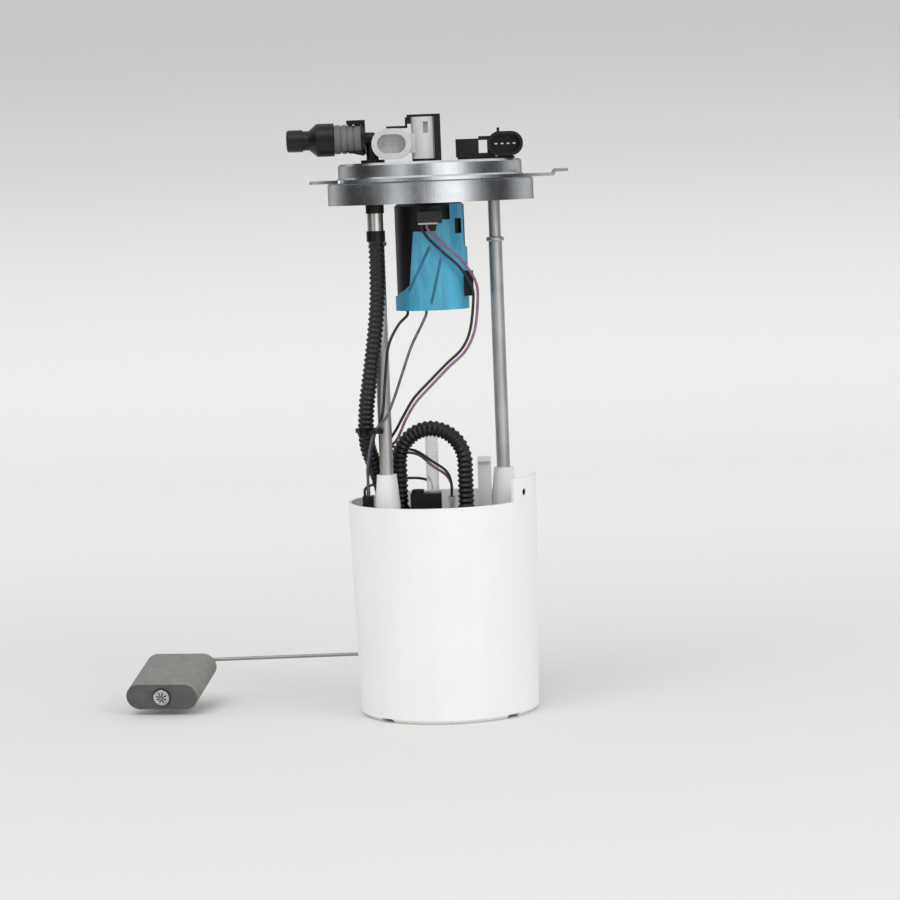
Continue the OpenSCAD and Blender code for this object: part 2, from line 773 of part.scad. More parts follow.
module u_hose() {
  mid = [(inlet_x + outlet_x) / 2, (inlet_y + outlet_y) / 2, u_top];
  half = [(outlet_x - inlet_x) / 2, (outlet_y - inlet_y) / 2, 0];
  route = concat([[inlet_x, inlet_y, nozzle_top], [inlet_x, inlet_y, (nozzle_top + u_top) / 2]],
    [for (a = [180:-20:0]) mid + cos(a) * half + [0, 0, sin(a) * u_span / 2]],
    [[outlet_x, outlet_y, (nozzle_top + u_top) / 2], [outlet_x, outlet_y, nozzle_top]]);
  color(black_plastic) ridged_hose(route, [0, 0, 1], [0, 0, -1]);
}

module lower_hose_clamps() {
  color(black_plastic) for (q = [[outlet_x, outlet_y], [inlet_x, inlet_y], [supply_x, supply_y]])
    translate([q[0], q[1], nozzle_top + 1]) {
      tube(hose_r + 0.85, hose_r + 0.05, 5);
      translate([-2, -hose_r - 2.6, 0]) cube([4, 2, 5]);
    }
}

module sender_plug() {
  color(black_plastic) translate([plug_x - 3.5, plug_y - 4, carrier_top]) {
    cube([7, 8.5, plug_h]);
    translate([-0.7, 1.5, 8]) cube([0.7, 5, 6]);
  }
}

module sender_leads() {
  color(black_plastic) wire(lead_route, 3, [0, 0, 1]);
}

// Level sender
module sender_housing() {
  left = pivot_x - pad_w / 2 + 1;
  color(black_plastic) {
    difference() {
      translate([left, housing_y, pad_low + 2]) cube([pad_w - 2, housing_t, pad_high - pad_low - 4]);
      translate([left + 4, housing_y + housing_t - card_t, pivot_z + card_rise])
        cube([card_w, 5, card_h]);
    }
    translate([pivot_x, housing_y, pivot_z]) rotate([-90, 0, 0])
      cylinder(r = hub_bore - 0.05, h = wire_y - housing_y + 5);
    stop_peg(low_stop_angle, 1);
    stop_peg(low_stop_angle - arm_travel, -1);
  }
}

stop_reach = 15;
peg_r = 1.8;
low_stop_angle = atan2(bend_z - pivot_z, bend_x - pivot_x);

// Peg beside the wire's upper stretch, which lies at this angle when it meets the peg
module stop_peg(angle, side) {
  gap = arm_r + peg_r + 0.15;
  x = pivot_x + stop_reach * cos(angle) - side * gap * sin(angle);
  z = pivot_z + stop_reach * sin(angle) + side * gap * cos(angle);
  translate([x, housing_y + housing_t - 0.5, z]) rotate([-90, 0, 0])
    cylinder(r = peg_r, h = wire_y + arm_r + 1.5 - housing_y - housing_t);
}

module resistor_card() {
  left = pivot_x - pad_w / 2 + 5;
  color(white_plastic) translate([left, housing_y + housing_t - card_t, pivot_z + card_rise])
    cube([card_w, card_t, card_h]);
}

module rod_between(a, b, r) {
  d = b - a;
  translate(a) rotate([0, acos(d[2] / norm(d)), atan2(d[1], d[0])]) cylinder(r = r, h = norm(d));
}

// Wire from the hub to the float, with round bends; the float's stretch is a true cylinder
module arm_wire() {
  hub = [pivot_x, wire_y, pivot_z];
  bend = [bend_x, wire_y, bend_z];
  drop = unit(bend - hub);
  turn = tip_back - 6 * tip_dir;
  tip = tip_back + (float_d + 2.5) * tip_dir;
  nut = tip_back + (float_d + 0.3) * tip_dir;
  route = [hub + 5 * drop, bend - 12 * drop, bend - 3 * drop, [bend_x - 4, wire_y, arm_z],
    [bend_x - 12, wire_y, arm_z], [turn[0] + 14, wire_y, arm_z], [turn[0] + 4, wire_y, arm_z],
    turn, turn + 2 * tip_dir, turn + 5 * tip_dir];
  p = smooth(route, 3);
  color(steel) {
    difference() {
      translate([pivot_x, housing_y + housing_t + 0.3, pivot_z]) rotate([-90, 0, 0])
        cylinder(r = hub_r, h = wire_y + 3 - housing_y - housing_t - 0.3);
      translate([pivot_x, housing_y, pivot_z]) rotate([-90, 0, 0]) cylinder(r = hub_bore, h = 20);
    }
    sweep(p, [for (q = p) arm_r - 0.02], 10, drop, tip_dir);
    rod_between(turn + 3.5 * tip_dir, tip, arm_r);
    rod_between(nut, nut + push_t * tip_dir, push_r);
  }
}

module float_block() {
  color(mid_grey) translate(tip_back) rotate([90 + pitch, 0, -yaw]) difference() {
    slot_block(float_w, float_h, float_d);
    translate([0, 0, -1]) cylinder(r = arm_r + float_fit, h = float_d + 2);
  }
}

// Flange
module flange_plate() {
  color(zinc) difference() {
    union() {
      rotate_extrude() polygon([[pan_r - sheet_t, skirt_top], [seat_r, skirt_top], [seat_r, plate_z],
        [plate_r, plate_z], [plate_r, plate_top], [pan_r + 1.2, plate_top], [pan_r, plate_top + 1.2],
        [pan_r, pan_top - 1.5], [pan_r - 1.5, pan_top], [0, pan_top], [0, pan_under],
        [pan_r - sheet_t - 0.6, pan_under], [pan_r - sheet_t, pan_under - 0.6]]);
      translate([0, 12, 0]) face_front() linear_extrude(24) polygon([
        [plate_r - 3, plate_z], [plate_r + 1.2, plate_z], [plate_r + 3, plate_z + tab_rise],
        [plate_r + tab_reach, plate_z + tab_rise], [plate_r + tab_reach, plate_top + tab_rise],
        [plate_r + 2.2, plate_top + tab_rise], [plate_r + 0.4, plate_top], [plate_r - 3, plate_top]]);
    }
    translate([port_x, port_y, pan_under - 1]) cylinder(r = ferrule_r + push_fit, h = 5);
    translate([valve_x, 0, pan_under - 1]) cylinder(r = 4, h = 5);
    translate([sensor_x, sensor_y, pan_under - 1]) cylinder(r = 3, h = 5);
    for (a = [135, 225]) rotate([0, 0, a]) translate([plate_r + 1.5, 0, plate_z - 1])
      cylinder(r = 4, h = plate_t + 2);
  }
}

module flange_skirt() {
  low = skirt_top - sheet_t;
  color(zinc) rotate_extrude() polygon([[pan_r - sheet_t, low], [pan_r - sheet_t, skirt_top],
    [skirt_r - 1.5, skirt_top], [skirt_r, skirt_top - 1.5], [skirt_r, skirt_z], [skirt_r - sheet_t, skirt_z],
    [skirt_r - sheet_t, low - 0.7], [skirt_r - sheet_t - 0.7, low]]);
}

module guide_rods() {
  low = foot_z;
  bore = rod_r - rod_wall;
  color(zinc) for (at = rods) translate(at) difference() {
    rotate_extrude() polygon([[0, low], [rod_r, low], [rod_r, bead_z - 1.5], [bead_r - 0.8, bead_z - 1.5],
      [bead_r, bead_z - 0.8], [bead_r, bead_z + 0.8], [bead_r - 0.8, bead_z + 1.5], [neck_r, bead_z + 1.5],
      [neck_r, pan_under], [0, pan_under]]);
    translate([0, 0, low - 1]) cylinder(r = bore - 0.7, h = pan_under - low + 2);
  }
}

module rod_feet() {
  color(black_plastic) for (at = rods) translate(at) {
    translate([0, 0, foot_z - foot_base]) cylinder(r = foot_r, h = foot_base);
    translate([0, 0, foot_z]) tube(foot_r, rod_r, bush_z - foot_gap - foot_z);
  }
}

// Supply line
module supply_ferrule() {
  color(tin) translate([port_x, port_y, 0]) {
    translate([0, 0, hose_top]) tube(ferrule_r, 2.6, pan_top - hose_top);
    translate([0, 0, ferrule_z]) tube(hose_r - 0.25, ferrule_r - 0.1, ferrule_h);
  }
}

module upper_hose_clamps() {
  color(black_plastic) translate([port_x, port_y, 0]) {
    translate([0, 0, hose_top]) tube(hose_r + 0.6, ferrule_r + push_fit, ferrule_z - hose_top);
    translate([0, 0, ferrule_z + ferrule_h]) tube(hose_r + 0.5, ferrule_r + push_fit, 6);
  }
}

module supply_hose() {
  color(black_plastic) ridged_hose(supply_route, [0, 0, -1], [0, 0, -1]);
}

module supply_elbow() {
  color(black_plastic) difference() {
    union() {
      translate([port_x, port_y, pan_top]) cylinder(r = 7.5, h = 2);
      translate([port_x, port_y, pan_top]) cylinder(r = pipe_r, h = port_rise);
      translate([port_x, port_y, port_z]) sphere(r = pipe_r);
      translate([collar_end, port_y, port_z]) rotate([0, 90, 0]) cylinder(r = pipe_r, h = port_x - collar_end);
    }
    translate([port_x, port_y, pan_top - 1]) cylinder(r = 2.6, h = port_rise + 1);
    translate([collar_end - 1, port_y, port_z]) rotate([0, 90, 0])
      cylinder(r = 2.6, h = port_x - collar_end + 1);
  }
}

module supply_spigot() {
  color(black_plastic) translate([0, port_y, port_z]) rotate([0, -90, 0]) difference() {
    rotate_extrude() polygon([[0, -collar_end], [collar_r, -collar_end], [collar_r, -spigot_face],
      [spigot_r - 0.8, -spigot_cone], [spigot_r - 0.8, -spigot_neck], [spigot_r, -spigot_neck],
      [spigot_r, -spigot_end - 1], [spigot_r - 1, -spigot_end], [0, -spigot_end]]);
    translate([0, 0, -collar_end - 1]) cylinder(r = 2.6, h = 40);
    translate([0, 0, -spigot_end - 6]) cylinder(r = 4.4, h = 10);
  }
}

module supply_sleeve() {
  ribs = 3;
  color(mid_grey) translate([sleeve_to, port_y, port_z]) rotate([0, -90, 0]) difference() {
    cylinder(r = sleeve_r, h = sleeve_to - sleeve_from);
    translate([0, 0, -1]) cylinder(r = pipe_r + push_fit, h = 40);
    for (k = [1:ribs]) translate([0, 0, 4 * k]) tube(sleeve_r + 1, sleeve_r - 0.6, 1.2);
  }
}

module sleeve_latch() {
  ring_x = sleeve_to + 0.3;
  color(black_plastic) {
    translate([-51, port_y - 5, port_z + sleeve_r + push_fit]) cube([ring_x + 53.3, 10, 2.6]);
    translate([ring_x, port_y, port_z]) rotate([0, 90, 0]) tube(sleeve_r + 1, pipe_r + push_fit, 2.3);
    difference() {
      translate([ring_x + 1.5, port_y - 5, port_z - sleeve_r + 0.6]) rotate([0, 14, 0])
        translate([-24, 0, -2.4]) cube([24, 10, 2.4]);
      translate([sleeve_from - 12, port_y, port_z]) rotate([0, 90, 0])
        cylinder(r = sleeve_r + push_fit, h = 40);
    }
  }
}

// Pressure sensor
module sensor_seal() {
  color(black_plastic) translate([sensor_x, sensor_y, pan_top]) tube(sensor_r, 3, seal_h);
}

module pressure_sensor() {
  color(light_grey) {
    difference() {
      union() {
        translate([sensor_x, sensor_y, pan_top + seal_h])
          cylinder(r = sensor_r, h = sensor_top - pan_top - seal_h);
        translate([socket_x, socket_back, socket_z]) face_front()
          slot_block(socket_w, socket_h, socket_back - socket_front);
        translate([socket_x, socket_back - 9, socket_z - 6]) cube([sensor_x - socket_x, 8, 12]);
      }
      translate([socket_x, socket_back - 4, socket_z]) face_front()
        slot_block(socket_w - 2 * socket_wall, socket_h - 2 * socket_wall, 30);
      translate([sensor_x + 0.5, sensor_y - sensor_r - 1, sensor_top - 10]) cube([3, 5, 7]);
    }
  }
}

module sensor_clip() {
  y = sensor_y - 3;
  post_x = sensor_x + sensor_r + 0.1;
  color(black_plastic) {
    translate([post_x, y, pan_top]) cube([4.2, 6, sensor_top + 1.6 - pan_top]);
    translate([sensor_x - 9.5, y, sensor_top]) cube([post_x - sensor_x + 9.5, 6, 1.6]);
    translate([sensor_x - 9.5, y, sensor_top - 4]) cube([2.4, 6, 4]);
    translate([socket_x - 3, y, socket_z + socket_h / 2]) cube([12.4, 6, 1.4]);
    translate([sensor_x - 10.7, y, socket_z + socket_h / 2]) cube([1.4, 6, sensor_top - socket_z - socket_h / 2]);
  }
}

module sensor_blades() {
  color(tin) for (k = [-1:1]) translate([socket_x + 4.5 * k - 0.8, socket_back - 8, socket_z - 0.3])
    cube([1.6, 4, 0.6]);
}

// Electrical header
module header_body() {
  left = 17;
  color(black_plastic) difference() {
    union() {
      translate([left + 1, header_back - 3, pan_top]) cube([36, 10, base_h]);
      translate([left, header_back - 5, pan_top + base_h]) cube([14.5, 12, 11.6]);
      translate([left + 14.5, header_back - 5, pan_top + base_h]) cube([6.5, 8, 2.4]);
      translate([left + 14.5, header_back - 5, pan_top + base_h + 10.6]) cube([6.5, 8, 2.4]);
      translate([left + 20, header_back - 5, pan_top + base_h]) cube([5, 8, 13]);
      translate([header_x, header_back, header_z]) face_front()
        slot_block(header_w, header_h, header_back - header_front);
      translate([header_x - 5, header_front, header_z + header_h / 2 - 1]) cube([1.6, 9, 3.4]);
      translate([header_x - 5, header_back - 1, pan_top + base_h - 0.5]) cube([10, 6, 8]);
    }
    translate([header_x, header_back - 3, header_z]) face_front()
      slot_block(header_w - 2 * header_wall, header_h - 2 * header_wall, 30);
  }
}

module header_blades() {
  color(tin) for (k = [-1.5:1:1.5]) translate([header_x + 3.8 * k - 0.9, header_back - 8, header_z - 0.4])
    cube([1.8, 5, 0.8]);
}

module vent_port() {
  color(black_plastic) translate([valve_x, 0, pan_top]) difference() {
    union() {
      cylinder(r = 8, h = 2);
      cylinder(r = vent_r, h = vent_rise);
      translate([0, 0, vent_rise]) sphere(r = vent_r);
      translate([0, 0, vent_rise]) rotate([-90, 0, 0]) cylinder(r = vent_r, h = vent_reach);
      translate([0, vent_reach - vent_bead, vent_rise]) rotate([-90, 0, 0])
        cylinder(r = vent_r + 0.7, h = vent_bead);
    }
    translate([0, 0, -1]) cylinder(r = vent_bore, h = vent_rise + 1);
    translate([0, 0, vent_rise]) rotate([-90, 0, 0]) cylinder(r = vent_bore, h = vent_reach + 1);
  }
}

// Vent valve
module valve_housing() {
  color(black_plastic) translate([valve_x, 0, 0]) difference() {
    union() {
      translate([0, 0, valve_z]) cylinder(r = core_r, h = valve_top - valve_z);
      translate([0, 0, valve_top]) cylinder(r1 = core_r, r2 = 15, h = 6);
      translate([0, 0, valve_top + 6]) cylinder(r = 12, h = pan_under - valve_top - 6);
    }
    translate([0, 0, valve_z + valve_wall]) cylinder(r = float_r + float_gap, h = chamber_len);
    translate([0, 0, valve_z - 1]) cylinder(r = 7, h = valve_wall + 2);
    translate([0, 0, valve_z]) cylinder(r = vent_bore, h = 100);
    for (a = [30:60:330]) rotate([0, 0, a]) translate([10.5, 0, valve_z - 1]) cylinder(r = 2, h = valve_wall + 2);
  }
}

module skirt_outline() {
  polygon([[-23, -1], [24, -1], [24, 38], [21.3, 41], [21.3, 67], [13, 67], [13, 57], [5.5, 57], [3.5, 50],
    [-10.5, 50], [-11.5, 41], [-14, 16], [-23, 9]]);
}

module valve_skirt() {
  grooves = [[-15.8, 12, 27, 32], [-1.6, 4, 14, 30]];
  color(blue_plastic) translate([valve_x, 0, valve_z]) difference() {
    union() {
      intersection() {
        tube(valve_r, valve_r - blue_t, 68);
        face_front() linear_extrude(40) skirt_outline();
      }
      tube(valve_r, valve_r - blue_t, 9);
    }
    translate([16, -40, 48]) cube([4, 40, 9.5]);
    for (g = grooves) translate([g[0], -valve_r - 4, g[1]]) rotate([0, g[2], 0]) cube([1.6, 5, g[3]]);
  }
}

module harness_plug() {
  color(mid_grey) difference() {
    translate([-9, -29, plug_face]) cube([15.5, 9, 7.5]);
    translate([valve_x, 0, plug_face - 1]) cylinder(r = valve_r + push_fit, h = 10);
  }
}

module wire_clip() {
  color(black_plastic) difference() {
    translate([valve_x + valve_r - 3, -12, valve_z + 8]) cube([6, 4, 16]);
    translate([valve_x, 0, valve_z]) cylinder(r = valve_r + push_fit, h = 40);
  }
}

module valve_float() {
  color(white_plastic) translate([valve_x, 0, float_low]) {
    cylinder(r = float_r, h = float_len);
    translate([0, 0, float_len]) cylinder(r1 = 3, r2 = 1, h = 3);
  }
}

module feed_wire() {
  color(black_plastic) wire(feed_route, 2);
}

module return_wire() {
  color([0.50, 0.38, 0.50]) wire(return_route, 2);
}

module signal_wire() {
  color(black_plastic) wire(signal_route, 3);
}

module ground_wire() {
  color([0.35, 0.36, 0.42]) wire(ground_route, 3);
}

module cable_tie() {
  color(black_plastic) translate([0, 0, tie_z]) difference() {
    tie_loop(tie_t, tie_h);
    translate([0, 0, -1]) tie_loop(0, tie_h + 2);
  }
}

module tie_loop(grow, h) {
  hull() {
    translate(tie_hose) cylinder(r = hose_r + 0.4 + grow, h = h, $fn = 32);
    translate(tie_wires) cylinder(r = 3 + grow, h = h, $fn = 32);
  }
}

reservoir();
rim_lug();
guide_bushes();
guide_springs();
inlet_valve();
jet_pump();
inlet_strainer();
pump_inlet_cap();
pump_can();
pump_outlet_cap();
pump_magnets();
pump_brushes();
pump_terminals();
filter_canister();
filter_element();
filter_lid();
pump_carrier();
regulator_block();
overflow_tube();
latch_tower();
u_hose();
lower_hose_clamps();
sender_plug();
sender_leads();
sender_housing();
resistor_card();
flange_plate();
flange_skirt();
guide_rods();
rod_feet();
supply_ferrule();
upper_hose_clamps();
supply_hose();
supply_elbow();
supply_spigot();
supply_sleeve();
sleeve_latch();
pressure_sensor();
sensor_seal();
sensor_clip();
sensor_blades();
header_body();
header_blades();
vent_port();
valve_housing();
valve_skirt();
harness_plug();
wire_clip();
feed_wire();
return_wire();
signal_wire();
ground_wire();
valve_float();
armature();
motor_shaft();
impeller();
check_poppet();
arm_wire();
float_block();
cable_tie();
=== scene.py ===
import json
import math

import bmesh
import bpy
from mathutils import Matrix, Vector

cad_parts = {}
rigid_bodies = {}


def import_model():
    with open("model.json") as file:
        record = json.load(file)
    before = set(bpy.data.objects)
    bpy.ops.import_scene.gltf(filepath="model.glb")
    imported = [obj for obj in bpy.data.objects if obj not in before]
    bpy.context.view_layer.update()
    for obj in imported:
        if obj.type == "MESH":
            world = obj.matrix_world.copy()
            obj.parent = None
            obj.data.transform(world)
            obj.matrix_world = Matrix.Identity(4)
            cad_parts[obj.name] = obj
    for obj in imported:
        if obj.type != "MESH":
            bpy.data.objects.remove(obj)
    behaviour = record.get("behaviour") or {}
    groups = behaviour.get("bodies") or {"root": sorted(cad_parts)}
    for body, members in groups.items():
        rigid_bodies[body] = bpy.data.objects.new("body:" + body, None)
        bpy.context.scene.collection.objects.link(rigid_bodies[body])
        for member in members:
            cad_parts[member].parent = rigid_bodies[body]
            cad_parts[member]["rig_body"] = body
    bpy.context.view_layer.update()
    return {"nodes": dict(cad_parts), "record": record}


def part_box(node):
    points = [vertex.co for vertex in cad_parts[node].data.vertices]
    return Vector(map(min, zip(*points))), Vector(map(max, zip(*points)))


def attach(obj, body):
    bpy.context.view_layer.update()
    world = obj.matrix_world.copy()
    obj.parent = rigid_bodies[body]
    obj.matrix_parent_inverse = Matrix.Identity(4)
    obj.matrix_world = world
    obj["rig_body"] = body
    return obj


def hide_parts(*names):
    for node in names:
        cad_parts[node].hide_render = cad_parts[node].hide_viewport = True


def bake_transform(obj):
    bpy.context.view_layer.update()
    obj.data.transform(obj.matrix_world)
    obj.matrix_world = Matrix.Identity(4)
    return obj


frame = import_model()
MM = 0.001


# Camera, set first: the photograph's view from the front, from a little above
IMAGE_SIZE = 900
FOCAL_PIXELS = 2970
SENSOR_WIDTH = 36
CAMERA_PLACE = Vector((6, -1900, 339)) * MM
CAMERA_PITCH = math.radians(5.14)
CAMERA_ROLL = math.radians(2.2)


def place_camera():
    lens = bpy.data.cameras.new("studio_camera")
    lens.sensor_width = SENSOR_WIDTH
    lens.lens = FOCAL_PIXELS / IMAGE_SIZE * SENSOR_WIDTH
    lens.clip_end = 30
    camera = bpy.data.objects.new("studio_camera", lens)
    bpy.context.scene.collection.objects.link(camera)
    tilt = Matrix.Rotation(math.pi / 2 - CAMERA_PITCH, 4, "X") @ Matrix.Rotation(-CAMERA_ROLL, 4, "Z")
    camera.matrix_world = Matrix.Translation(CAMERA_PLACE) @ tilt
    bpy.context.scene.camera = camera


place_camera()


class Value:
    """A shader value: an expression on values adds its Math nodes."""

    def __init__(self, finish, socket):
        self.finish = finish
        self.socket = socket

    def _math(self, operation, first, second):
        return self.finish.add("ShaderNodeMath", {"operation": operation}, {0: first, 1: second})

    def __add__(self, other):
        return self._math("ADD", self, other)

    __radd__ = __add__

    def __mul__(self, other):
        return self._math("MULTIPLY", self, other)

    __rmul__ = __mul__

    def __sub__(self, other):
        return self._math("SUBTRACT", self, other)

    def __rsub__(self, other):
        return self._math("SUBTRACT", other, self)

    def __truediv__(self, other):
        return self._math("DIVIDE", self, other)

    def __pow__(self, other):
        return self._math("POWER", self, other)


class Finish:
    """A material on a Principled shader, with patterns in object coordinates, in metres."""

    def __init__(self, name, **constants):
        self.material = bpy.data.materials.new(name)
        self.material.use_nodes = True
        self.tree = self.material.node_tree
        self.shader = self.tree.nodes["Principled BSDF"]
        for socket, number in constants.items():
            self.shader.inputs[socket.replace("_", " ")].default_value = number
        self.place = self.add("ShaderNodeTexCoord", {}, {}, "Object")

    def add(self, kind, settings, inputs, output=0):
        node = self.tree.nodes.new(kind)
        for key, setting in settings.items():
            if key == "stops":
                ramp = node.color_ramp
                while len(ramp.elements) < len(setting):
                    ramp.elements.new(0.5)
                for element, (position, color) in zip(ramp.elements, setting):
                    element.position = position
                    element.color = color
            else:
                setattr(node, key, setting)
        for key, given in inputs.items():
            socket = node.inputs[key]
            if isinstance(given, Value):
                self.tree.links.new(given.socket, socket)
            else:
                socket.default_value = given
        return Value(self, node.outputs[output])

    def stretched(self, x, y, z):
        return self.add("ShaderNodeMapping", {}, {"Vector": self.place, "Scale": (x, y, z)})

    def noise(self, scale, detail=3.0, roughness=0.5, where=None):
        inputs = {"Vector": where or self.place, "Scale": scale, "Detail": detail, "Roughness": roughness}
        return self.add("ShaderNodeTexNoise", {}, inputs)

    def mask(self, value, low, high):
        inputs = {"Value": value, "From Min": low, "From Max": high}
        return self.add("ShaderNodeMapRange", {"interpolation_type": "SMOOTHSTEP"}, inputs)

    def blend(self, factor, first, second):
        return self.add("ShaderNodeMix", {"data_type": "RGBA"}, {0: factor, 6: first, 7: second}, 2)

    def part_of(self, vector, axis):
        return self.add("ShaderNodeSeparateXYZ", {}, {0: vector}, axis)

    def vector_math(self, operation, first, second, output="Vector"):
        return self.add("ShaderNodeVectorMath", {"operation": operation}, {0: first, 1: second}, output)

    def bump(self, value, strength, depth):
        return self.add("ShaderNodeBump", {}, {"Height": value, "Strength": strength, "Distance": depth})

    def feed(self, **links):
        for socket, value in links.items():
            self.tree.links.new(value.socket, self.shader.inputs[socket.replace("_", " ")])
        return self.material


def gray(level):
    return (level, level, level, 1)


# Float: where its rear face sits on the arm wire, and the wire's direction through it
FLOAT_BACK = Vector((-178.4, 61.984, 25)) * MM
FLOAT_YAW = math.radians(11)
FLOAT_PITCH = math.radians(14)
FLOAT_LENGTH = 51 * MM
FLOAT_AXIS = Vector((-math.sin(FLOAT_YAW) * math.cos(FLOAT_PITCH),
                     -math.cos(FLOAT_YAW) * math.cos(FLOAT_PITCH),
                     -math.sin(FLOAT_PITCH)))


# Zinc plate, light and dark, its specks, and the duller tab: its grey, where it begins along X and how softly
ZINC = ((0.74, 0.76, 0.79, 1), (0.60, 0.62, 0.65, 1))
SPECK = (0.42, 0.40, 0.36, 1)
DULL_ZINC = (0.20, 0.20, 0.195, 1)
DULL_FROM = 73 * MM
DULL_BLEND = 6 * MM


def zinc_finish(name, light, dark, roughness, dull_from=None):
    """Plated metal: cloudy brightness, fine upright drawing marks and small dull specks."""
    f = Finish(name, Metallic=1.0)
    cloud = f.noise(45, 4, 0.6)
    grain = f.noise(900, 2, 0.5, f.stretched(1, 1, 0.12))
    waves = f.noise(70, 3, 0.6, f.stretched(1, 1, 0.15))
    spots = f.mask(f.noise(260, 3, 0.7), 0.62, 0.75)
    tint = f.blend(f.mask(cloud, 0.3, 0.7), dark, light)
    worn = f.blend(spots * 0.25, tint, SPECK)
    if dull_from is not None:
        outer = f.mask(f.part_of(f.place, 0), dull_from, dull_from + DULL_BLEND)
        worn = f.blend(outer * 0.75, worn, DULL_ZINC)
    rough = cloud * 0.14 + grain * 0.08 + spots * 0.1 + (roughness - 0.12)
    relief = grain * 0.3 + cloud * 0.3 + waves * 1.2
    return f.feed(Base_Color=worn, Roughness=rough, Normal=f.bump(relief, 0.22, 0.0004))


def moulded_finish(name, color, second, roughness, grain_scale=1400, strength=0.12, **constants):
    """Moulded plastic: fine grain, faint flow marks and slightly uneven gloss."""
    f = Finish(name, **constants)
    flow = f.noise(60, 3, 0.55, f.stretched(1, 1, 0.3))
    grain = f.noise(grain_scale, 2, 0.5)
    scuffs = f.mask(f.noise(420, 4, 0.75, f.stretched(1, 1, 0.25)), 0.6, 0.78)
    tint = f.blend(f.mask(flow, 0.3, 0.7), color, second)
    rough = flow * 0.10 + scuffs * 0.12 + (roughness - 0.05)
    return f.feed(Base_Color=tint, Roughness=rough, Normal=f.bump(grain + flow * 0.8, strength, 0.0002))


# Darker and lighter streaks of the reservoir's milky white
MILKY = ((0.825, 0.83, 0.815, 1), (0.86, 0.862, 0.85, 1))


def reservoir_finish():
    """Milky moulded plastic with faint vertical draw marks."""
    f = Finish("reservoir_white", Subsurface_Weight=0.12, Subsurface_Scale=0.004)
    f.shader.inputs["Subsurface Radius"].default_value = (1.0, 0.95, 0.85)
    draw = f.noise(110, 3, 0.5, f.stretched(1, 1, 0.04))
    grain = f.noise(1600, 2, 0.5)
    mottle = f.noise(30, 3, 0.6)
    tint = f.blend(f.mask(draw * 0.5 + mottle * 0.5, 0.3, 0.7), *MILKY)
    rough = draw * 0.12 + 0.30
    return f.feed(Base_Color=tint, Roughness=rough, Normal=f.bump(draw * 0.6 + grain * 0.4, 0.10, 0.0002))


# Two slanted grooves in the front of the blue skirt: foot along X and Z, tilt in degrees and length
SKIRT_GROOVES = ((-15.1, 11.6, 27, 32), (-0.8, 3.8, 14, 30))
GROOVE_WIDTH = 1.6 * MM
SKIRT_BLUE = ((0.042, 0.285, 0.445, 1), (0.072, 0.43, 0.655, 1))
# Dark blue of the painted shade in the grooves
GROOVE_SHADE_BLUE = (0.018, 0.115, 0.20, 1)
# Where the grooves' painted shade fades from the skirt's front to its sides, and how softly it ends
SKIRT_FRONT = (-12 * MM, -8 * MM)
GROOVE_END = 2 * MM


def blue_finish():
    """Blue moulded plastic with darker streaks, and painted shade darkest in its grooves."""
    f = Finish("skirt_blue")
    low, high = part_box("valve_skirt")
    x = f.part_of(f.place, 0) - (low[0] + high[0]) / 2
    z = f.part_of(f.place, 2) - low[2]
    front = 1 - f.mask(f.part_of(f.place, 1), *SKIRT_FRONT)
    shade = 0.0
    for foot_x, foot_z, tilt, length in SKIRT_GROOVES:
        sine, cosine = math.sin(math.radians(tilt)), math.cos(math.radians(tilt))
        side = (x - foot_x * MM) * cosine - (z - foot_z * MM) * sine
        along = (x - foot_x * MM) * sine + (z - foot_z * MM) * cosine
        off = f.add("ShaderNodeMath", {"operation": "ABSOLUTE"}, {0: side})
        inside = 1 - f.mask(off, GROOVE_WIDTH * 0.35, GROOVE_WIDTH * 0.75)
        far = 1 - f.mask(along, length * MM - GROOVE_END, length * MM + GROOVE_END)
        ends = f.mask(along, 0.0, GROOVE_END) * far
        shade = inside * ends + shade
    streak = f.noise(85, 4, 0.6, f.stretched(1, 1, 0.22))
    grain = f.noise(1300, 2, 0.5)
    tint = f.blend(f.mask(streak, 0.38, 0.66), *SKIRT_BLUE)
    # Painted shade in the grooves, on the skirt's front only
    tint = f.blend(shade * front * 0.8, tint, GROOVE_SHADE_BLUE)
    rough = streak * 0.2 + 0.3
    return f.feed(Base_Color=tint, Roughness=rough, Normal=f.bump(grain + streak, 0.15, 0.0003))


# Foam: broad faces with painted light and end faces with painted shade, each dark and light, its pits, and
# the painted shade of a dark ring under the nut with its soft edge
FOAM_LIT_FACES = ((0.200, 0.192, 0.184, 1), (0.245, 0.236, 0.226, 1))
FOAM_SHADED_ENDS = ((0.080, 0.078, 0.076, 1), (0.112, 0.109, 0.105, 1))
FOAM_PITS = (0.05, 0.048, 0.045, 1)
NUT_SHADE = (0.030, 0.029, 0.028, 1)
NUT_SHADE_EDGE = (5.6 * MM, 7.4 * MM)


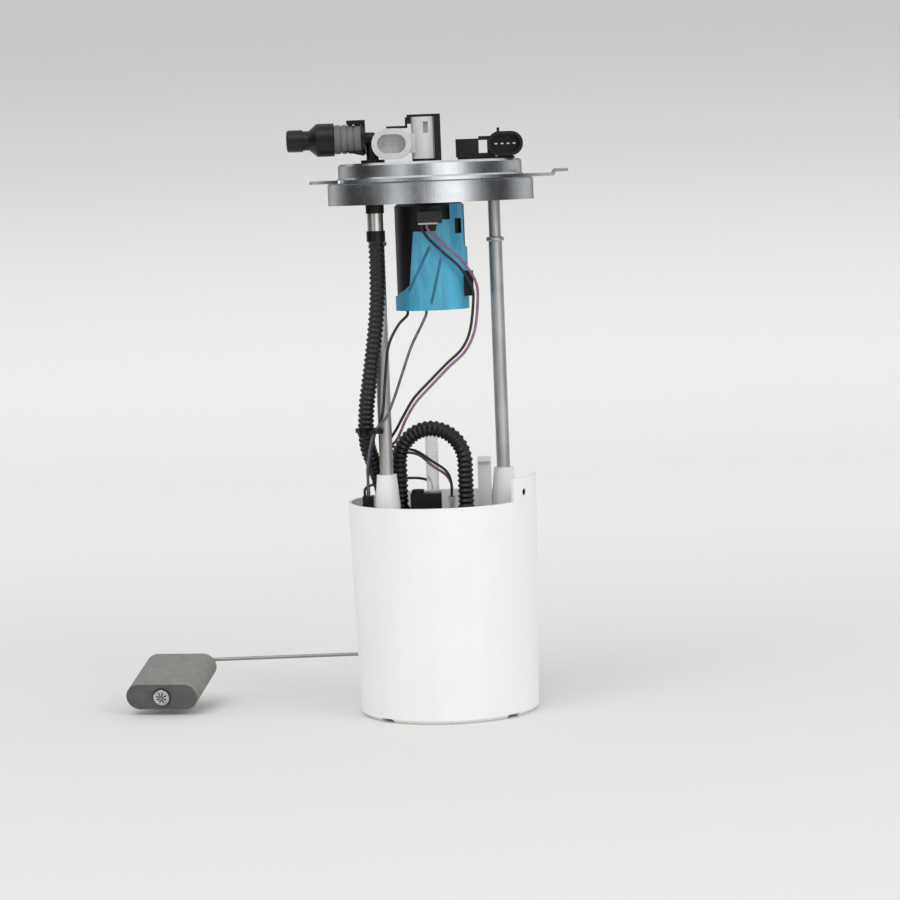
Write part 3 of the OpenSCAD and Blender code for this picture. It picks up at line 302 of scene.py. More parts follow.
def foam_finish():
    """Closed-cell foam: broad faces painted lighter as painted light, end faces painted darker as painted
    shade.
    """
    f = Finish("float_foam", Roughness=0.85)
    cells = f.add("ShaderNodeTexVoronoi", {}, {"Vector": f.place, "Scale": 1500})
    mottle = f.noise(150, 4, 0.6)
    pits = f.mask(f.noise(900, 3, 0.7), 0.60, 0.72)
    # The float's end faces get painted shade and its broad faces get painted light
    tilt = f.add("ShaderNodeTexCoord", {}, {}, "Normal")
    along = f.vector_math("DOT_PRODUCT", tilt, tuple(FLOAT_AXIS), "Value")
    end_faces = f.mask(along * along, 0.5, 0.9)
    # skin holds the broad faces' colour with painted light, and ends holds the end faces' colour with painted
    # shade
    skin = f.blend(f.mask(mottle, 0.25, 0.75), *FOAM_LIT_FACES)
    ends = f.blend(f.mask(mottle, 0.25, 0.75), *FOAM_SHADED_ENDS)
    tint = f.blend(end_faces, skin, ends)
    from_back = f.vector_math("SUBTRACT", f.place, tuple(FLOAT_BACK))
    across = f.vector_math("CROSS_PRODUCT", from_back, tuple(FLOAT_AXIS))
    from_arm = f.vector_math("LENGTH", across, (0, 0, 0), "Value")
    # Painted shade: a dark ring on the end faces round the push nut
    seat = (1 - f.mask(from_arm, *NUT_SHADE_EDGE)) * end_faces
    tint = f.blend(seat * 0.8, tint, NUT_SHADE)
    pitted = f.blend(pits * 0.45, tint, FOAM_PITS)
    return f.feed(Base_Color=pitted, Normal=f.bump(cells * 0.5 - pits * 0.6, 0.3, 0.0002))


# Print on the resistor card: inner and outer radius in metres round the arm's axis, and the ticks' pitch
CARD_TRACKS = ((0.0122, 0.0136), (0.0168, 0.0186))
CARD_TICKS = (0.0139, 0.0165)
CARD_TICK_PITCH = math.radians(4)
CARD_EDGE = 0.12 * MM
CERAMIC = ((0.74, 0.74, 0.71, 1), (0.80, 0.80, 0.77, 1))
TICK_GREY = (0.42, 0.42, 0.40, 1)


def card_finish():
    """White ceramic card with two dark printed arcs and a row of short contact ticks between them."""
    f = Finish("resistor_card_print")
    hub = next(j for j in frame["record"]["behaviour"]["joints"] if j["name"] == "float_swing")["pos_m"]
    x = f.part_of(f.place, 0) - hub[0]
    z = f.part_of(f.place, 2) - hub[2]
    reach = (x * x + z * z) ** 0.5
    turn = f.add("ShaderNodeMath", {"operation": "ARCTAN2"}, {0: x, 1: z})
    tick = f.add("ShaderNodeMath", {"operation": "SINE"}, {0: turn * (2 * math.pi / CARD_TICK_PITCH)})

    def band(low, high):
        return (f.mask(reach, low - CARD_EDGE, low + CARD_EDGE)
                * (1 - f.mask(reach, high - CARD_EDGE, high + CARD_EDGE)))

    arcs = 0.0
    for low, high in CARD_TRACKS:
        arcs = band(low, high) + arcs
    row = band(*CARD_TICKS) * f.mask(tick, 0.1, 0.4)
    grain = f.noise(900, 2, 0.5)
    tint = f.blend(arcs * 0.95, f.blend(grain, *CERAMIC), gray(0.035))
    tint = f.blend(row * 0.9, tint, TICK_GREY)
    relief = f.bump(arcs + row + grain * 0.2, 0.2, 0.0001)
    return f.feed(Base_Color=tint, Roughness=grain * 0.1 + 0.4, Normal=relief)


def wire_finish(name, color, second):
    f = Finish(name)
    band = f.noise(300, 3, 0.5)
    tint = f.blend(f.mask(band, 0.35, 0.65), color, second)
    return f.feed(Base_Color=tint, Roughness=band * 0.15 + 0.32, Normal=f.bump(band, 0.1, 0.0002))


def clear_finish():
    """Milky clear tube, darker towards its edges, where one looks along its wall."""
    f = Finish("clear_tube", Transmission_Weight=0.85, IOR=1.2)
    haze = f.noise(60, 2, 0.4, f.stretched(1, 1, 0.2))
    edge = f.mask(f.add("ShaderNodeLayerWeight", {}, {"Blend": 0.5}, "Facing"), 0.3, 0.8)
    tint = f.blend(haze, (0.93, 0.935, 0.92, 1), (0.985, 0.985, 0.975, 1))
    tint = f.blend(edge * 0.8, tint, gray(0.45))
    return f.feed(Base_Color=tint, Roughness=haze * 0.06 + 0.12)


FINISHES = {
    "zinc_steel": zinc_finish("zinc_plate", *ZINC, 0.24),
    "steel": zinc_finish("bright_steel", (0.66, 0.66, 0.66, 1), (0.52, 0.52, 0.52, 1), 0.28),
    "tin": zinc_finish("tinned_metal", (0.74, 0.73, 0.69, 1), (0.58, 0.57, 0.54, 1), 0.3),
    "copper": zinc_finish("brush_copper", (0.72, 0.42, 0.25, 1), (0.58, 0.33, 0.20, 1), 0.35),
    "white_plastic": reservoir_finish(),
    "black_plastic": moulded_finish("black_moulding", gray(0.004), gray(0.009), 0.33, Specular_IOR_Level=0.3),
    "hose_plastic": moulded_finish("hose_black", gray(0.007), gray(0.012), 0.32, 900, 0.2,
                                   Specular_IOR_Level=0.4),
    "blue_plastic": blue_finish(),
    "light_grey_plastic": moulded_finish("sensor_grey", gray(0.50), gray(0.58), 0.4),
    "grey_rubber": moulded_finish("sleeve_grey", gray(0.11), gray(0.16), 0.5, 1100, 0.25),
    "foam": foam_finish(),
    "clear_plastic": clear_finish(),
    "black_wire": wire_finish("black_lead", gray(0.010), gray(0.02)),
    "mauve_wire": wire_finish("mauve_lead", (0.20, 0.09, 0.17, 1), (0.30, 0.14, 0.26, 1)),
    "grey_wire": wire_finish("grey_lead", (0.06, 0.07, 0.10, 1), (0.12, 0.13, 0.17, 1)),
}
# Nodes whose finish differs from the rest of their slot
OWN_FINISH = {
    "flange_plate": zinc_finish("zinc_plate_with_tab", *ZINC, 0.24, DULL_FROM),
    "guide_rods": zinc_finish("dull_rod_zinc", (0.60, 0.595, 0.59, 1), (0.50, 0.497, 0.494, 1), 0.52),
    "arm_wire": zinc_finish("dull_wire_steel", (0.36, 0.355, 0.35, 1), (0.28, 0.275, 0.27, 1), 0.45),
    "harness_plug": moulded_finish("plug_dark", gray(0.014), gray(0.022), 0.5),
    "latch_tower": moulded_finish("tower_grey", gray(0.66), gray(0.74), 0.45),
    "resistor_card": card_finish(),
}
NODE_SLOT = {part["node"]: part["material_slot"] for part in frame["record"]["subparts"]}
BODY_OF = {node: piece["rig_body"] for node, piece in frame["nodes"].items()}


def finish_piece(piece, slot, own=None):
    piece.data.materials.clear()
    piece.data.materials.append(own or FINISHES[slot])
    return piece


def link_mesh(name, mesh):
    piece = bpy.data.objects.new(name, mesh)
    bpy.context.scene.collection.objects.link(piece)
    return piece


# Edges that turn by more than this stay sharp
SHARP_ANGLE = math.radians(32)


def smooth_copy(node):
    """A welded copy of a CAD node with smooth shading between its sharp edges."""
    mesh = frame["nodes"][node].data.copy()
    mesh.name = node + "_skin"
    work = bmesh.new()
    work.from_mesh(mesh)
    bmesh.ops.remove_doubles(work, verts=work.verts, dist=2e-6)
    bmesh.ops.dissolve_degenerate(work, edges=work.edges, dist=1e-7)
    for face in work.faces:
        face.smooth = True
    for edge in work.edges:
        edge.smooth = len(edge.link_faces) == 2 and edge.calc_face_angle(0) < SHARP_ANGLE
    work.to_mesh(mesh)
    work.free()
    piece = link_mesh(node + "_skin", mesh)
    finish_piece(piece, NODE_SLOT[node], OWN_FINISH.get(node))
    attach(piece, BODY_OF[node])
    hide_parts(node)


def smooth_route(points, steps):
    """A smooth curve through a route's points, by the same rule as in the solids."""
    p = [Vector(q) * MM for q in points]
    path = []
    for i in range(len(p) - 1):
        a, b, c, d = p[max(i - 1, 0)], p[i], p[i + 1], p[min(i + 2, len(p) - 1)]
        for k in range(steps):
            t = k / steps
            path.append(0.5 * (2 * b + (c - a) * t + (2 * a - 5 * b + 4 * c - d) * t * t
                               + (3 * b - a - 3 * c + d) * t ** 3))
    return path + [p[-1]]


def path_object(name, paths):
    curve = bpy.data.curves.new(name, "CURVE")
    curve.dimensions = "3D"
    for path in paths:
        spline = curve.splines.new("POLY")
        spline.points.add(len(path) - 1)
        for point, place in zip(spline.points, path):
            point.co = (*place, 1)
    return link_mesh(name, curve)


class Net:
    """A Geometry Nodes tree with named inputs."""

    def __init__(self, name, sizes):
        self.tree = bpy.data.node_groups.new(name, "GeometryNodeTree")
        face = self.tree.interface
        face.new_socket("Geometry", in_out="OUTPUT", socket_type="NodeSocketGeometry")
        face.new_socket("Geometry", in_out="INPUT", socket_type="NodeSocketGeometry")
        for label, kind in sizes.items():
            face.new_socket(label, in_out="INPUT", socket_type=kind)
        self.given = self.tree.nodes.new("NodeGroupInput")
        self.result = self.tree.nodes.new("NodeGroupOutput")

    def add(self, kind, settings, inputs, output=0):
        node = self.tree.nodes.new(kind)
        for key, setting in settings.items():
            setattr(node, key, setting)
        for key, given in inputs.items():
            if isinstance(given, bpy.types.NodeSocket):
                self.tree.links.new(given, node.inputs[key])
            else:
                node.inputs[key].default_value = given
        return node.outputs[output]

    def size(self, label):
        return self.given.outputs[label]

    def maths(self, operation, first, second=0.0):
        return self.add("ShaderNodeMath", {"operation": operation}, {0: first, 1: second})

    def close(self, geometry):
        whole = self.add("GeometryNodeRealizeInstances", {}, {0: geometry})
        made = self.add("GeometryNodeSetMaterial", {}, {"Geometry": whole, "Material": self.size("Finish")})
        self.tree.links.new(made, self.result.inputs[0])
        return self.tree


def ridged_tube_tree():
    """A tube with or without ridges that follows a path."""
    sizes = {"Radius": "NodeSocketFloat", "Ridge depth": "NodeSocketFloat", "Ridge pitch": "NodeSocketFloat",
             "Step": "NodeSocketFloat", "Sides": "NodeSocketInt", "Finish": "NodeSocketMaterial"}
    net = Net("ridged_tube", sizes)
    fine = net.add("GeometryNodeResampleCurve", {"mode": "LENGTH"},
                   {"Curve": net.given.outputs["Geometry"], "Length": net.size("Step")})
    along = net.add("GeometryNodeSplineParameter", {}, {}, "Length")
    turn = net.maths("MULTIPLY", net.maths("DIVIDE", along, net.size("Ridge pitch")), 2 * math.pi)
    wave = net.maths("MULTIPLY_ADD", net.maths("COSINE", turn), 0.5)
    wave.node.inputs[2].default_value = 0.5
    crest = net.maths("POWER", wave, 1.3)
    dip = net.maths("MULTIPLY", net.maths("SUBTRACT", 1.0, crest), net.size("Ridge depth"))
    radius = net.maths("SUBTRACT", net.size("Radius"), dip)
    shaped = net.add("GeometryNodeSetCurveRadius", {}, {"Curve": fine, "Radius": radius})
    ring = net.add("GeometryNodeCurvePrimitiveCircle", {"mode": "RADIUS"},
                   {"Resolution": net.size("Sides"), "Radius": 1.0})
    tube_inputs = {"Curve": shaped, "Profile Curve": ring, "Fill Caps": True}
    if curve_scale_input():
        tube_inputs["Scale"] = net.add("GeometryNodeInputRadius", {}, {})
    body = net.add("GeometryNodeCurveToMesh", {}, tube_inputs)
    return net.close(net.add("GeometryNodeSetShadeSmooth", {}, {"Geometry": body, "Shade Smooth": True}))


def curve_scale_input():
    """Whether this Blender's Curve to Mesh takes its scale from a socket."""
    probe = bpy.data.node_groups.new("probe", "GeometryNodeTree")
    node = probe.nodes.new("GeometryNodeCurveToMesh")
    found = "Scale" in node.inputs
    bpy.data.node_groups.remove(probe)
    return found


def realized(piece, tree, values, name):
    """Runs a tree on an object and returns the result as a plain mesh object."""
    modifier = piece.modifiers.new("shape", "NODES")
    modifier.node_group = tree
    for item in tree.interface.items_tree:
        if item.in_out == "INPUT" and item.name in values:
            modifier[item.identifier] = values[item.name]
    graph = bpy.context.evaluated_depsgraph_get()
    graph.update()
    mesh = bpy.data.meshes.new_from_object(piece.evaluated_get(graph), depsgraph=graph)
    mesh.name = name
    bpy.data.objects.remove(piece)
    work = bmesh.new()
    work.from_mesh(mesh)
    bmesh.ops.recalc_face_normals(work, faces=work.faces)
    work.to_mesh(mesh)
    work.free()
    return link_mesh(name, mesh)


RIDGED = ridged_tube_tree()
HOSE_R = 5.25 * MM
RIDGE_DEPTH = 0.95 * MM
RIDGE_PITCH = 3.3 * MM
WIRE_R = 0.9 * MM


def follow_path(name, paths, slot, radius, depth=0.0, step=RIDGE_PITCH / 8, sides=24):
    """A round piece along one or more paths, with ridges where it has a depth."""
    values = {"Radius": radius, "Ridge depth": depth, "Ridge pitch": RIDGE_PITCH, "Step": step,
              "Sides": sides, "Finish": FINISHES[slot]}
    piece = realized(path_object(name + "_path", paths), RIDGED, values, name)
    return piece


# Routes of hoses and leads in millimetres, the same as in the solids
SUPPLY_ROUTE = [(-35.5, -25.5, 304), (-35.5, -25.5, 287), (-36.3, -25, 266), (-38.8, -24, 244),
                (-43.4, -20.5, 215), (-45.8, -17, 200), (-47, -12.5, 184), (-46.2, -7, 171.85),
                (-43, -1, 161.09), (-40, 6, 150.06), (-38, 12, 140.15), (-38, 12, 133.08), (-38, 12, 126)]
FEED_ROUTE = [(-6, -26.5, 314), (-6, -26.5, 310), (-2, -27.4, 304), (7, -26.6, 295), (17, -22.5, 285),
              (23.8, -17.3, 273), (24.2, -17, 262), (21.5, -18, 245), (16, -20, 234), (6, -21.5, 225),
              (-5, -22, 214.5), (-15.5, -22, 204), (-22.5, -19, 193), (-27.5, -12, 184), (-31.6, -3.5, 177.5),
              (-33.8, 6, 172.5), (-26.5, 13.8, 169.5), (-16, 9.5, 167.5), (-6, 5.5, 161), (3, 2, 154.5),
              (6, 0, 147), (6, 0, 138)]
RETURN_ROUTE = [(-3, -26.5, 314), (-3, -26.5, 311), (1.5, -27.8, 306), (9.5, -27.2, 298), (19.5, -23.6, 288),
                (26.6, -18.6, 275), (27, -18, 262), (24.3, -19, 244.5), (18, -21.6, 232.4), (7.4, -23.4, 223),
                (-3.6, -24.2, 212.3), (-14, -24.2, 201.8), (-21, -21, 191), (-25.3, -13.4, 181.5),
                (-29, -5.2, 175), (-35.6, 5, 169.5), (-28, 16, 167), (-15, 12, 165), (-6, 6.2, 158),
                (2.4, 5.4, 152), (6, 4, 146), (6, 4, 138)]
SIGNAL_ROUTE = [(-17.5, -13, 259), (-18, -13.5, 256), (-24, -19, 250), (-30.5, -22.5, 237),
                (-33.5, -23.5, 215), (-35, -23.5, 200), (-37.2, -23.2, 190), (-40.6, -22.8, 184),
                (-42.6, -19.5, 177), (-44.6, -15, 168), (-46.6, -10, 157), (-47.5, -5, 147),
                (-47.5, -5, 141)]
GROUND_ROUTE = [(-5.5, -20, 259), (-6, -20.4, 256), (-9.5, -22, 249), (-16.3, -23.3, 236),
                (-23.4, -23.7, 217), (-28, -24.4, 204.7), (-33, -25.6, 193.5), (-37.4, -26, 188.4),
                (-41.4, -25.3, 183.5), (-44, -21.8, 176), (-45.8, -16.8, 167), (-47.2, -12.2, 157),
                (-46.9, -8.1, 147), (-46.9, -8.1, 141)]
LEAD_ROUTE = [(-49.5, -4, 141), (-49.5, -2.5, 145), (-46, 12, 146), (-38, 34, 146), (-22, 51, 146),
              (-11, 58, 144), (-7.5, 62.98, 139), (-6, 63.58, 130), (-6, 63.18, 122), (-6, 63.18, 116)]
U_INLET = Vector((-26.9, 4, 0)) * MM
U_OUTLET = Vector((15.3, -10, 0)) * MM
NOZZLE_TOP = 126 * MM
U_SPRING = 160.4 * MM
BASE_BODY = "reservoir_unit"
TOP_BODY = "flange_unit"
# Heights in metres between which a lead runs from the reservoir unit to the flange unit
PUMP_LEAD_BEND = (0.138, 0.303)
SENDER_LEAD_BEND = (0.1477, 0.259)
LEADS = (("feed_lead", "feed_wire", FEED_ROUTE, "black_wire", PUMP_LEAD_BEND),
         ("return_lead", "return_wire", RETURN_ROUTE, "mauve_wire", PUMP_LEAD_BEND),
         ("signal_lead", "signal_wire", SIGNAL_ROUTE, "black_wire", SENDER_LEAD_BEND),
         ("ground_lead", "ground_wire", GROUND_ROUTE, "grey_wire", SENDER_LEAD_BEND))


def u_route():
    """Up from the filter's inlet, over a half circle and down to the pump's outlet."""
    middle = (U_INLET + U_OUTLET) / 2 + Vector((0, 0, U_SPRING))
    half = (U_OUTLET - U_INLET) / 2
    rise = Vector((0, 0, half.length))
    arch = [middle + half * math.cos(a) + rise * math.sin(a)
            for a in [math.radians(degrees) for degrees in range(180, -1, -5)]]
    legs = [NOZZLE_TOP + (U_SPRING - NOZZLE_TOP) * k / 8 for k in range(8)]
    up = [U_INLET + Vector((0, 0, z)) for z in legs]
    down = [U_OUTLET + Vector((0, 0, z)) for z in reversed(legs)]
    return up + arch + down


def cross_slide(piece):
    """Bakes the placement of a piece that is held by both units into its mesh."""
    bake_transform(piece)


def make_hoses():
    path = smooth_route(SUPPLY_ROUTE, 12)
    hose = follow_path("supply_hose_ridged", [path], "hose_plastic", HOSE_R, RIDGE_DEPTH)
    cross_slide(hose)
    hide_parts("supply_hose")
    bow = follow_path("u_hose_ridged", [u_route()], "hose_plastic", HOSE_R, RIDGE_DEPTH)
    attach(bow, BASE_BODY)
    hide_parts("u_hose")


def wire_along(name, route, slot):
    return follow_path(name, [smooth_route(route, 8)], slot, WIRE_R, step=1.2 * MM, sides=12)


def make_wires():
    for name, node, route, slot, bend in LEADS:
        wire = wire_along(name, route, slot)
        cross_slide(wire)
        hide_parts(node)
    leads = wire_along("sender_lead", LEAD_ROUTE, "black_wire")
    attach(leads, BASE_BODY)
    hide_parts("sender_leads")


# Guide springs in the columns, under the rods' feet
RODS = (Vector((-34.9, -13, 0)) * MM, Vector((40.1, 8, 0)) * MM)
SPRING_FOOT = 6.1 * MM
SPRING_TOP = 127.3 * MM
SPRING_R = 4.4 * MM
SPRING_WIRE_R = 0.55 * MM
SPRING_TURNS = 11
SPRING_STEPS = 330


def make_springs():
    paths = []
    for rod in RODS:
        path = []
        for k in range(SPRING_STEPS + 1):
            a = 2 * math.pi * SPRING_TURNS * k / SPRING_STEPS
            height = SPRING_FOOT + (SPRING_TOP - SPRING_FOOT) * k / SPRING_STEPS
            path.append(rod + Vector((SPRING_R * math.cos(a), SPRING_R * math.sin(a), height)))
        paths.append(path)
    springs = follow_path("column_springs", paths, "steel", SPRING_WIRE_R, step=1.0 * MM, sides=8)
    cross_slide(springs)
    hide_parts("guide_springs")


# Push nut on the front of the float: a rolled rim, a thin black disc in its recess as painted shade, and
# teeth that bite the wire.
# Outlines are (radius, height) in millimetres, a tooth is (radius, half width).
NUT_FACE = FLOAT_LENGTH + 1.3 * MM
NUT_RIM = ((5.35, -0.02), (5.3, 0.25), (5.0, 0.5), (4.6, 0.5), (4.2, 0.2), (3.5, 0.12), (3.5, -0.02))
NUT_RECESS_SHADE = ((3.5, 0), (3.5, 0.05), (1.25, 0.05), (1.25, 0))
NUT_TEETH = 8
TOOTH_ROOT = (3.55, 0.85)
TOOTH_TIP = (1.5, 0.3)
TOOTH_THICKNESS = 0.22
TOOTH_SLOPE = 0.28


def axle_frame(place, direction):
    """Matrix that puts +Z along a direction at a place."""
    return Matrix.Translation(place) @ direction.to_track_quat("Z", "Y").to_matrix().to_4x4()


def join_rings(work, rings):
    """Closes a loop of rings of vertices with faces."""
    for k, ring in enumerate(rings):
        after = rings[(k + 1) % len(rings)]
        for i in range(len(ring)):
            j = (i + 1) % len(ring)
            work.faces.new((ring[i], after[i], after[j], ring[j]))


def lathe(work, outline, matrix, sides=64):
    """Adds a ring with a closed outline of (radius, height) pairs in millimetres to a bmesh."""
    rings = []
    for k in range(sides):
        a = 2 * math.pi * k / sides
        spokes = [Vector((r * MM * math.cos(a), r * MM * math.sin(a), z * MM)) for r, z in outline]
        rings.append([work.verts.new(matrix @ spoke) for spoke in spokes])
    join_rings(work, rings)


def wedge(work, corners):
    """Adds a block from four lower and four upper corners to a bmesh."""
    v = [work.verts.new(c) for c in corners]
    for face in ((0, 3, 2, 1), (4, 5, 6, 7), (0, 1, 5, 4), (1, 2, 6, 5), (2, 3, 7, 6), (3, 0, 4, 7)):
        work.faces.new([v[i] for i in face])


def finished(work, name, slot, body):
    """Turns a bmesh into a finished piece that rides on a body."""
    bmesh.ops.recalc_face_normals(work, faces=work.faces)
    for face in work.faces:
        face.smooth = True
    for edge in work.edges:
        edge.smooth = edge.calc_face_angle(0) < SHARP_ANGLE
    mesh = bpy.data.meshes.new(name)
    work.to_mesh(mesh)
    work.free()
    piece = finish_piece(link_mesh(name, mesh), slot)
    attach(piece, body)
    return piece


def make_push_nut():
    place = axle_frame(FLOAT_BACK + FLOAT_AXIS * NUT_FACE, FLOAT_AXIS)
    work = bmesh.new()
    lathe(work, NUT_RIM, place)
    (root_r, root_w), (tip_r, tip_w) = TOOTH_ROOT, TOOTH_TIP
    for k in range(NUT_TEETH):
        turn = Matrix.Rotation(2 * math.pi * k / NUT_TEETH, 4, "Z")
        shape = [Vector((r, w, z + (root_r - r) * TOOTH_SLOPE)) * MM for z in (0.0, TOOTH_THICKNESS)
                 for r, w in ((root_r, -root_w), (root_r, root_w), (tip_r, tip_w), (tip_r, -tip_w))]
        wedge(work, [place @ turn @ c for c in shape])
    finished(work, "push_nut_teeth", "steel", "float_arm")
    # A thin black disc in the nut's recess, a dark sheet as painted shade
    dark = bmesh.new()
    lathe(dark, NUT_RECESS_SHADE, place)
    finished(dark, "push_nut_recess_shade", "black_plastic", "float_arm")


# Black lining in the hole of the rim lug, a dark piece as painted shade in the bore: its outline as (radius,
# height) in millimetres
HOLE_SHADE_OUTLINE = ((2.12, -1.95), (2.12, 0.3), (2.35, 0.42), (2.85, 0.38), (3.0, 0.15), (3.0, -0.1), (2.2, -0.1),
          (2.2, -1.95))


def make_lug_hole_shade():
    # A black lining in the lug's hole as painted shade
    mount = next(m for m in frame["record"]["mounts"] if m["name"] == "lug_hole")
    place = axle_frame(Vector(mount["pos_m"]), Vector(mount["axis"]))
    work = bmesh.new()
    lathe(work, HOLE_SHADE_OUTLINE, place, 48)
    finished(work, "lug_hole_shade", "black_plastic", BASE_BODY)


def make_plug_lock():
    """The pale lock along the lower edge of the harness plug."""
    low, high = (Vector(c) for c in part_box("harness_plug"))
    front, back = low.y - 0.25 * MM, low.y + 0.8 * MM
    foot, top = low.z - 0.6 * MM, low.z + 0.7 * MM
    left, right = low.x + 0.3 * MM, high.x - 2.6 * MM
    corners = [(x, y, z) for z in (foot, top)
               for x, y in ((left, front), (right, front), (right, back), (left, back))]
    work = bmesh.new()
    wedge(work, corners)
    bmesh.ops.bevel(work, geom=work.edges[:], offset=0.25 * MM, segments=2, affect="EDGES")
    finished(work, "plug_edge_lock", "light_grey_plastic", TOP_BODY)


# Cable tie: a strap round the hose and the leads, with flared edges, a head and a cut tail.
# The section is (outwards, height) in millimetres, head and tail are half sizes.
TIE_HOSE = Vector((-47, -12.5, 0)) * MM
TIE_WIRES = Vector((-40.6, -24.3, 0)) * MM
TIE_RADII = (HOSE_R + 0.4 * MM, 3.9 * MM)
TIE_SECTION = ((0.3, 1.3), (0.7, 2.1), (0.95, 2.6), (1.15, 2.5), (1.15, 0.1), (0.95, 0.0), (0.7, 0.5))
TIE_SIDES = 72
TIE_HEAD = (2.2 * MM, 1.7 * MM, 2.1 * MM)
TIE_TAIL = (1.8 * MM, 0.45 * MM, 1.2 * MM)


def block(work, middle, along, out, half):
    """Adds a bevelled block with its half sizes along, outwards and up."""
    up = Vector((0, 0, 1))
    corners = [middle + along * (half[0] * a) + out * (half[1] * b) + up * (half[2] * c)
               for c in (-1, 1) for a, b in ((-1, -1), (1, -1), (1, 1), (-1, 1))]
    part = bmesh.new()
    wedge(part, corners)
    bmesh.ops.recalc_face_normals(part, faces=part.faces)
    bmesh.ops.bevel(part, geom=part.edges[:], offset=min(half) * 0.25, segments=2, affect="EDGES")
    mesh = bpy.data.meshes.new("block")
    part.to_mesh(mesh)
    part.free()
    work.from_mesh(mesh)
    bpy.data.meshes.remove(mesh)


def make_cable_tie():
    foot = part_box("cable_tie")[0][2]
    work = bmesh.new()
    rings = []
    for k in range(TIE_SIDES):
        a = 2 * math.pi * k / TIE_SIDES
        out = Vector((math.cos(a), math.sin(a), 0))
        middle, radius = max(((TIE_HOSE, TIE_RADII[0]), (TIE_WIRES, TIE_RADII[1])),
                             key=lambda ends: ends[0].dot(out) + ends[1])
        rings.append([work.verts.new(middle + out * (radius + s * MM) + Vector((0, 0, foot + h * MM)))
                      for s, h in TIE_SECTION])
    join_rings(work, rings)
    along = (TIE_WIRES - TIE_HOSE).normalized()
    out = Vector((along.y, -along.x, 0))
    seat = (TIE_HOSE + TIE_WIRES) / 2 + out * (sum(TIE_RADII) / 2) + Vector((0, 0, foot + 1.3 * MM))
    block(work, seat + out * 2.3 * MM, along, out, TIE_HEAD)
    block(work, seat + out * 2.4 * MM + along * 3.6 * MM, along, out, TIE_TAIL)
    strap = finished(work, "cable_tie_strap", "black_plastic", "harness_tie")
    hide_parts("cable_tie")


make_hoses()
make_wires()
make_springs()
make_push_nut()
make_lug_hole_shade()
make_plug_lock()
make_cable_tie()

# Nodes that the pieces above replace
MADE = {"supply_hose", "u_hose", "feed_wire", "return_wire", "signal_wire", "ground_wire", "sender_leads",
        "guide_springs", "cable_tie"}
for node in sorted(frame["nodes"]):
    if node not in MADE:
        smooth_copy(node)


# Studio: a pale floor that curves up into a backdrop, soft lamps and a ring of panels that the metal reflects
FLOOR_BACK = 1.6
FLOOR_FRONT = 14.0
FLOOR_HALF = 12.0
FLOOR_NEAR = (0.735, 0.735, 0.72, 1)
FLOOR_FAR = (0.91, 0.91, 0.895, 1)
WALL_HIGH = (0.605, 0.605, 0.59, 1)
COVE_R = 1.2
COVE_STEPS = 24
FLOOR_PLAIN = ((0.79, 0.79, 0.775, 1), (0.81, 0.81, 0.795, 1))
WALL_TOP = 4.0
SKY_LIGHT = (0.93, 0.94, 0.95, 1)
SKY_STRENGTH = 0.91
SKY_SEEN = (0.80, 0.80, 0.79, 1)


def studio_finish():
    """Pale sweep with painted light and shade, which the camera sees brighter far back on the floor and
    darker high on the wall.
    """
    f = Finish("studio_sweep", Roughness=0.9)
    x, y, z = (f.part_of(f.place, axis) for axis in range(3))
    rays = [f.add("ShaderNodeLightPath", {}, {}, ray)
            for ray in ("Is Camera Ray", "Is Glossy Ray", "Is Transmission Ray")]
    seen = rays[0] + rays[1] + rays[2]
    behind = f.mask(y, 0.0, 1.4)
    before = f.mask(y * -1.0, 0.6, 2.4)
    beside = f.mask(f.add("ShaderNodeMath", {"operation": "ABSOLUTE"}, {0: x}), 0.9, 2.4)
    away = f.add("ShaderNodeMath", {"operation": "MAXIMUM"}, {0: before, 1: beside})
    away = f.add("ShaderNodeMath", {"operation": "MAXIMUM"}, {0: away, 1: behind})
    floor = f.blend(away, FLOOR_NEAR, FLOOR_FAR)
    sweep = f.blend(f.mask(z, 0.06, 0.6), floor, WALL_HIGH)
    plain = f.blend(f.noise(3, 2, 0.5), *FLOOR_PLAIN)
    return f.feed(Base_Color=f.blend(seen, plain, sweep))


def make_studio():
    outline = [(-FLOOR_FRONT, 0.0), (FLOOR_BACK, 0.0)]
    outline += [(FLOOR_BACK + COVE_R * math.sin(a), COVE_R * (1 - math.cos(a)))
                for a in [math.pi / 2 * k / COVE_STEPS for k in range(1, COVE_STEPS + 1)]]
    outline.append((FLOOR_BACK + COVE_R, WALL_TOP))
    mesh = bpy.data.meshes.new("studio_sweep")
    verts = [(x, y, z) for y, z in outline for x in (-FLOOR_HALF, FLOOR_HALF)]
    faces = [(2 * k, 2 * k + 1, 2 * k + 3, 2 * k + 2) for k in range(len(outline) - 1)]
    mesh.from_pydata(verts, [], faces)
    for polygon in mesh.polygons:
        polygon.use_smooth = True
    sweep = link_mesh("studio_sweep", mesh)
    sweep.data.materials.append(studio_finish())


# What the bright metal reflects, by the angle round the object from the front towards +X, in degrees
RING_R = 1.5
RING_TOP = 1.0
RING_FOOT = 0.005
RING_SIDES = 96
RING_LIGHT = 1.35
RING_LEVELS = ((-180, 0.16), (-158, 0.18), (-142, 0.36), (-134, 0.36), (-112, 0.12), (-100, 0.025),
               (-75, 0.02), (-62, 0.08), (-50, 0.26), (-42, 0.50), (-34, 0.52), (-25, 0.30), (-16, 0.07),
               (-9, 0.12), (0, 0.42), (9, 0.85), (17, 1.0), (31, 1.0), (39, 0.62), (48, 0.26), (57, 0.14),
               (68, 0.04), (92, 0.03), (106, 0.20), (124, 0.38), (142, 0.38), (158, 0.18), (180, 0.16))


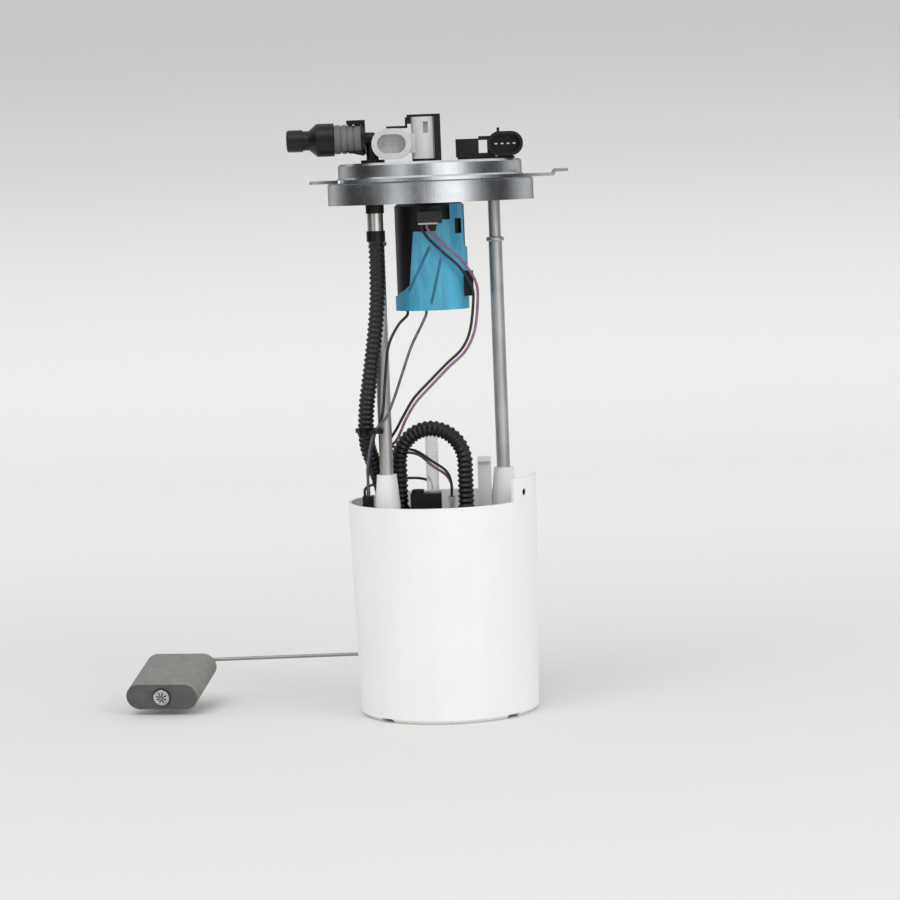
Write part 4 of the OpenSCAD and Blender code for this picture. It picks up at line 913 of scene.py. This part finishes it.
def make_reflections():
    """A ring of dark and bright panels that only reflections show."""
    f = Finish("reflection_panels", Base_Color=gray(0), Roughness=1.0, Emission_Strength=RING_LIGHT)
    x, y = f.part_of(f.place, 0), f.part_of(f.place, 1)
    turn = f.add("ShaderNodeMath", {"operation": "ARCTAN2"}, {0: x, 1: y * -1.0}) / (2 * math.pi) + 0.5
    stops = [(angle / 360 + 0.5, gray(level)) for angle, level in RING_LEVELS]
    f.feed(Emission_Color=f.add("ShaderNodeValToRGB", {"stops": stops}, {"Fac": turn}))
    angles = [2 * math.pi * k / RING_SIDES for k in range(RING_SIDES)]
    verts = [(RING_R * math.sin(a), -RING_R * math.cos(a), z) for z in (RING_FOOT, RING_TOP) for a in angles]
    faces = [(k, (k + 1) % RING_SIDES, RING_SIDES + (k + 1) % RING_SIDES, RING_SIDES + k)
             for k in range(RING_SIDES)]
    mesh = bpy.data.meshes.new("reflection_ring")
    mesh.from_pydata(verts, [], faces)
    ring = link_mesh("reflection_ring", mesh)
    ring.data.materials.append(f.material)
    ring.visible_camera = False
    ring.visible_shadow = False
    ring.visible_diffuse = False
    ring.visible_transmission = False


def make_lamp(name, place, target, width, height, watts):
    lamp = bpy.data.lights.new(name, "AREA")
    lamp.shape = "RECTANGLE"
    lamp.size = width
    lamp.size_y = height
    lamp.energy = watts
    piece = bpy.data.objects.new(name, lamp)
    bpy.context.scene.collection.objects.link(piece)
    piece.location = place
    piece.rotation_euler = (Vector(target) - Vector(place)).to_track_quat("-Z", "Y").to_euler()


def make_world():
    """A plain sky that lights the object, a little dimmer where the camera or a reflection sees it."""
    world = bpy.data.worlds.new("studio_world")
    bpy.context.scene.world = world
    world.use_nodes = True
    tree = world.node_tree
    sky = tree.nodes["Background"]
    sky.inputs["Color"].default_value = SKY_LIGHT
    sky.inputs["Strength"].default_value = SKY_STRENGTH
    shown = tree.nodes.new("ShaderNodeBackground")
    shown.inputs["Color"].default_value = SKY_SEEN
    rays = tree.nodes.new("ShaderNodeLightPath")
    seen = rays.outputs["Is Camera Ray"]
    for ray in ("Is Glossy Ray", "Is Transmission Ray"):
        either_ray = tree.nodes.new("ShaderNodeMath")
        either_ray.operation = "MAXIMUM"
        tree.links.new(seen, either_ray.inputs[0])
        tree.links.new(rays.outputs[ray], either_ray.inputs[1])
        seen = either_ray.outputs[0]
    either = tree.nodes.new("ShaderNodeMixShader")
    tree.links.new(seen, either.inputs["Fac"])
    tree.links.new(sky.outputs["Background"], either.inputs[1])
    tree.links.new(shown.outputs["Background"], either.inputs[2])
    tree.links.new(either.outputs["Shader"], tree.nodes["World Output"].inputs["Surface"])


make_studio()
make_reflections()
make_lamp("key_lamp", (-0.9, -1.6, 2.6), (0, 0, 0.2), 1.8, 1.8, 22)
make_lamp("fill_lamp", (1.6, -1.8, 1.6), (0, 0, 0.2), 1.4, 1.4, 14)
make_world()
bpy.context.scene.view_settings.view_transform = "Standard"
